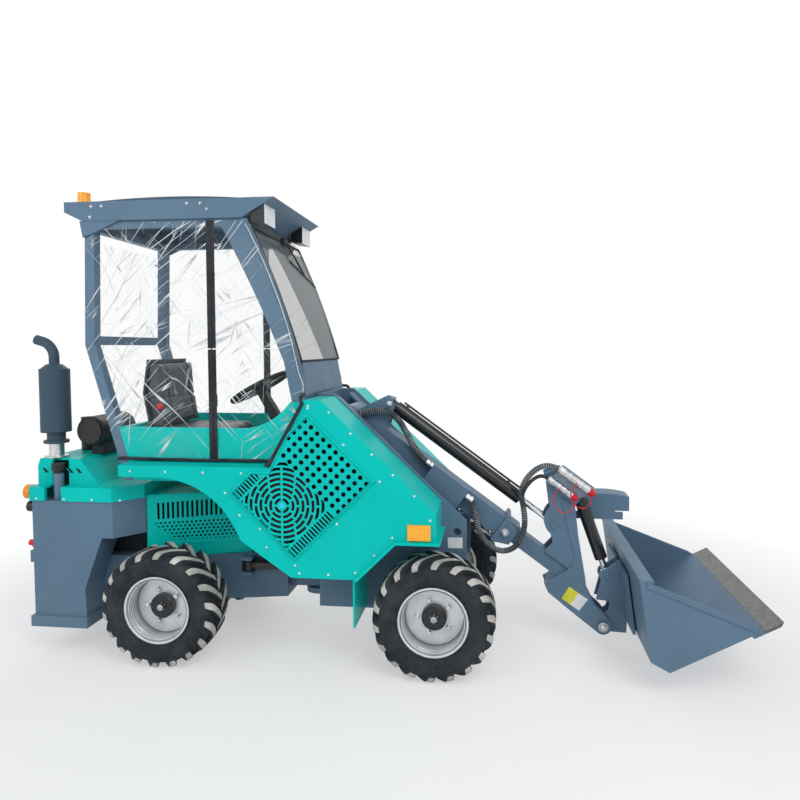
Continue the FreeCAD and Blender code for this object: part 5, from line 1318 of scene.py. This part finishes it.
def screen_trim():
    """The windscreen's rubber seal and its wiper."""
    shape = Shape()
    heights = [1503 + 43.2 * step for step in range(16)]
    for side in SIDES.values():
        shape.add(*tube([(screen_x(z) + 3, side * 362, z) for z in heights], 5), "hem")
    for z in (heights[0], heights[-1]):
        shape.add(*tube([(screen_x(z) + 4, -360, z), (screen_x(z) + 4, 360, z)], 5), "hem")
    shape.piece("windscreen_seal", "front_frame", "hose_rubber")
    blade = [(screen_x(z) + 9, 40 + 2.9 * (2040 - z), z) for z in range(1930, 2050, 10)]
    arm = [(screen_x(z) + out, y, z)
           for out, y, z in ((24, 60, 2150), (26, 100, 2080), (14, 199, 1985))]
    wiper = Shape().add(*tube(blade, 5), "plastic").add(*tube(arm, 5), "plastic")
    wiper.add(*box((screen_x(2150), screen_x(2150) + 30), (40, 80), (2130, 2170), 5), "plastic")
    wiper.piece("windscreen_wiper", "front_frame", "black_plastic")


def cab_controls():
    """The lever beside the seat, with its red knob."""
    shape = Shape()
    lever = [(-736, -285, 1155), (-745, -285, 1210), (-757, -283, 1254)]
    shape.add(*tube(lever, 6, 10), "plastic")
    knob = [(0.01, -18), (9, -16), (16, -8), (18, 0), (16, 9), (9, 16), (0.01, 18)]
    shape.add(*lathe(knob, 24), "red", facing((-0.25, 0, 1), (-760, -283, 1266)))
    shape.piece("seat_lever", "front_frame", "black_plastic")


# ---- seat

VOXEL = 0.006
PUFF_REACH = 0.009
SEAM_DEPTH, SEAM_WIDE = 0.006, 0.007


def baked(made, modifier):
    """The piece's mesh with its modifier worked in."""
    now = bpy.context.evaluated_depsgraph_get()
    data = bpy.data.meshes.new_from_object(made.evaluated_get(now))
    made.modifiers.remove(modifier)
    made.data = data


def puffed(made):
    """Foam under a tight cover: pressed out from inside, and held within a reach."""
    cells = made.modifiers.new("cells", "REMESH")
    cells.mode = "VOXEL"
    cells.voxel_size = VOXEL
    baked(made, cells)
    rest = [vertex.co.copy() for vertex in made.data.vertices]
    cloth = made.modifiers.new("cover", "CLOTH")
    cloth.settings.use_pressure = True
    cloth.settings.uniform_pressure_force = 4
    cloth.settings.effector_weights.gravity = 0
    for step in range(1, 21):
        bpy.context.scene.frame_set(step)
    baked(made, cloth)
    for vertex, start in zip(made.data.vertices, rest):
        moved = vertex.co - start
        if moved.length > PUFF_REACH:
            vertex.co = start + moved * (PUFF_REACH / moved.length)
    bpy.context.scene.frame_set(1)


def sewn(made, seams):
    """Seams drawn in where the cover is stitched: each is a place on an axis of the pad."""
    for axis, place in seams:
        for vertex in made.data.vertices:
            away = (vertex.co[axis] - place) / SEAM_WIDE
            if abs(away) < 3:
                vertex.co -= vertex.normal * SEAM_DEPTH * math.exp(-away * away)
    finer = made.modifiers.new("finer", "SUBSURF")
    finer.levels = finer.render_levels = 1
    baked(made, finer)
    made.data.shade_smooth()


def cushion(name, mesh, seams):
    made = Shape().add(*mesh, "seat").piece(name, "front_frame", "seat_vinyl")
    puffed(made)
    sewn(made, seams)
    return made


def seat():
    base = Shape().add(*box((-842, -446), (-208, 208), (1051, 1074), 8), "plastic")
    shell = [(-852, 1074), (-838, 1078), (-884, 1330), (-861, 1506), (-871, 1507), (-897, 1330)]
    base.add(*prism(shell, -205, 205), "plastic")
    base.piece("seat_shell", "front_frame", "black_plastic")
    pad = box((-838, -444), (-216, 216), (1074, 1136), 20)
    seams = [(1, -0.13), (1, 0.13), (0, at(-640, 0, 0).x)]
    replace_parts(cushion("seat_cushion", pad, seams), "seat")
    outline = [(-838, 1150), (-778, 1150), (-810, 1330), (-820, 1488), (-860, 1492), (-880, 1330)]
    cushion("seat_back_cushion", prism(outline, -200, 200), [(1, -0.12), (1, 0.12), (2, 1.3)])


# ---- floor, light and camera

WHITE = (1, 1, 1, 1)
FLOOR_REACH = 30


def floor():
    """White paper that fades into the white behind it, away from the machine."""
    data = bpy.data.meshes.new("floor")
    corners = [(x * FLOOR_REACH, y * FLOOR_REACH, 0)
               for x, y in ((-1, -1), (1, -1), (1, 1), (-1, 1))]
    data.from_pydata(corners, [], [[0, 1, 2, 3]])
    placed("floor", data)
    shader = Shader("floor_paper", 0.85, specular=0.1)
    shader.colour(shader.ramp(shader.noise(2.0, 4), (0.3, 0.9), (0.7, 0.93)))
    shader.bump(shader.noise(90, 3), 0.0002)
    x, y, _ = shader.split()
    reach = shader.math("DIVIDE", shader.hypotenuse(x, y), 10.0)
    share = shader.most(shader.ramp(reach, (0.16, 0.0), (0.34, 1.0)), 0.45)
    glow = shader.new("ShaderNodeEmission", {"Color": WHITE, "Strength": 1.0})
    shader.blend(shader.times(shader.seen(), share), shader.surface.outputs["BSDF"],
                 glow.outputs["Emission"], shader.output)
    data.materials.append(shader.material)


def world():
    """Soft light all round, with plain white where it is seen straight."""
    made = bpy.data.worlds.new("studio")
    bpy.context.scene.world = made
    made.use_nodes = True
    nodes_of = Nodes(made.node_tree)
    sky = made.node_tree.nodes["Background"]
    nodes_of.fill(sky, {"Color": (0.95, 0.97, 1.0, 1), "Strength": 0.55})
    white = nodes_of.new("ShaderNodeBackground", {"Color": WHITE, "Strength": 1.0})
    nodes_of.blend(nodes_of.seen(), sky.outputs["Background"], white.outputs["Background"],
                   made.node_tree.nodes["World Output"])


def lamp(name, place, aim, width, power):
    data = bpy.data.lights.new(name, "AREA")
    data.size = width
    data.energy = power
    made = placed(name, data)
    made.location = place
    made.rotation_euler = (Vector(aim) - Vector(place)).to_track_quat("-Z", "Y").to_euler()


def camera():
    data = bpy.data.cameras.new("camera")
    data.sensor_width = 36
    data.lens = 28.76
    data.shift_x = -0.0362
    data.shift_y = -0.0264
    made = placed("camera", data)
    made.location = (0.6088, -3.396, 1.567)
    made.rotation_euler = (math.radians(90 - 2.79), math.radians(0.1), math.radians(6.235))
    bpy.context.scene.camera = made


def stage():
    bpy.context.scene.view_settings.view_transform = "Standard"
    world()
    floor()
    lamp("key", (2.6, -4.2, 5.2), (0, 0, 0.9), 3.2, 150)
    lamp("fill", (-3.6, -4.4, 3.0), (0, 0, 0.9), 3.5, 60)
    lamp("back", (-1.5, 4.6, 4.2), (0, 0, 1.0), 3.0, 70)
    camera()


# ---- the whole machine

repaint_frame()
stage()
hoses()
seat()
for wheel in WHEELS:
    tyre(wheel)
grille("right", ["grilles"])
grille("left", [])
vent("right", ["engine_vents"])
vent("left", [])
side_cover("right")
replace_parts(side_cover("left"), "cab_covers")
back_cover()
engine_bay_painted_shade()
for side_name in SIDES:
    grille_shade_sheet(side_name)
    hood_louvres(side_name)
    fan_hub(side_name)
    hems(side_name)
    panel_screws(side_name)
    roof_bolts(side_name)
boom_bolts()
coupler_trim()
hose_collars()
blank_plates()
bucket_strips()
pin_washers()
screen_trim()
cab_controls()
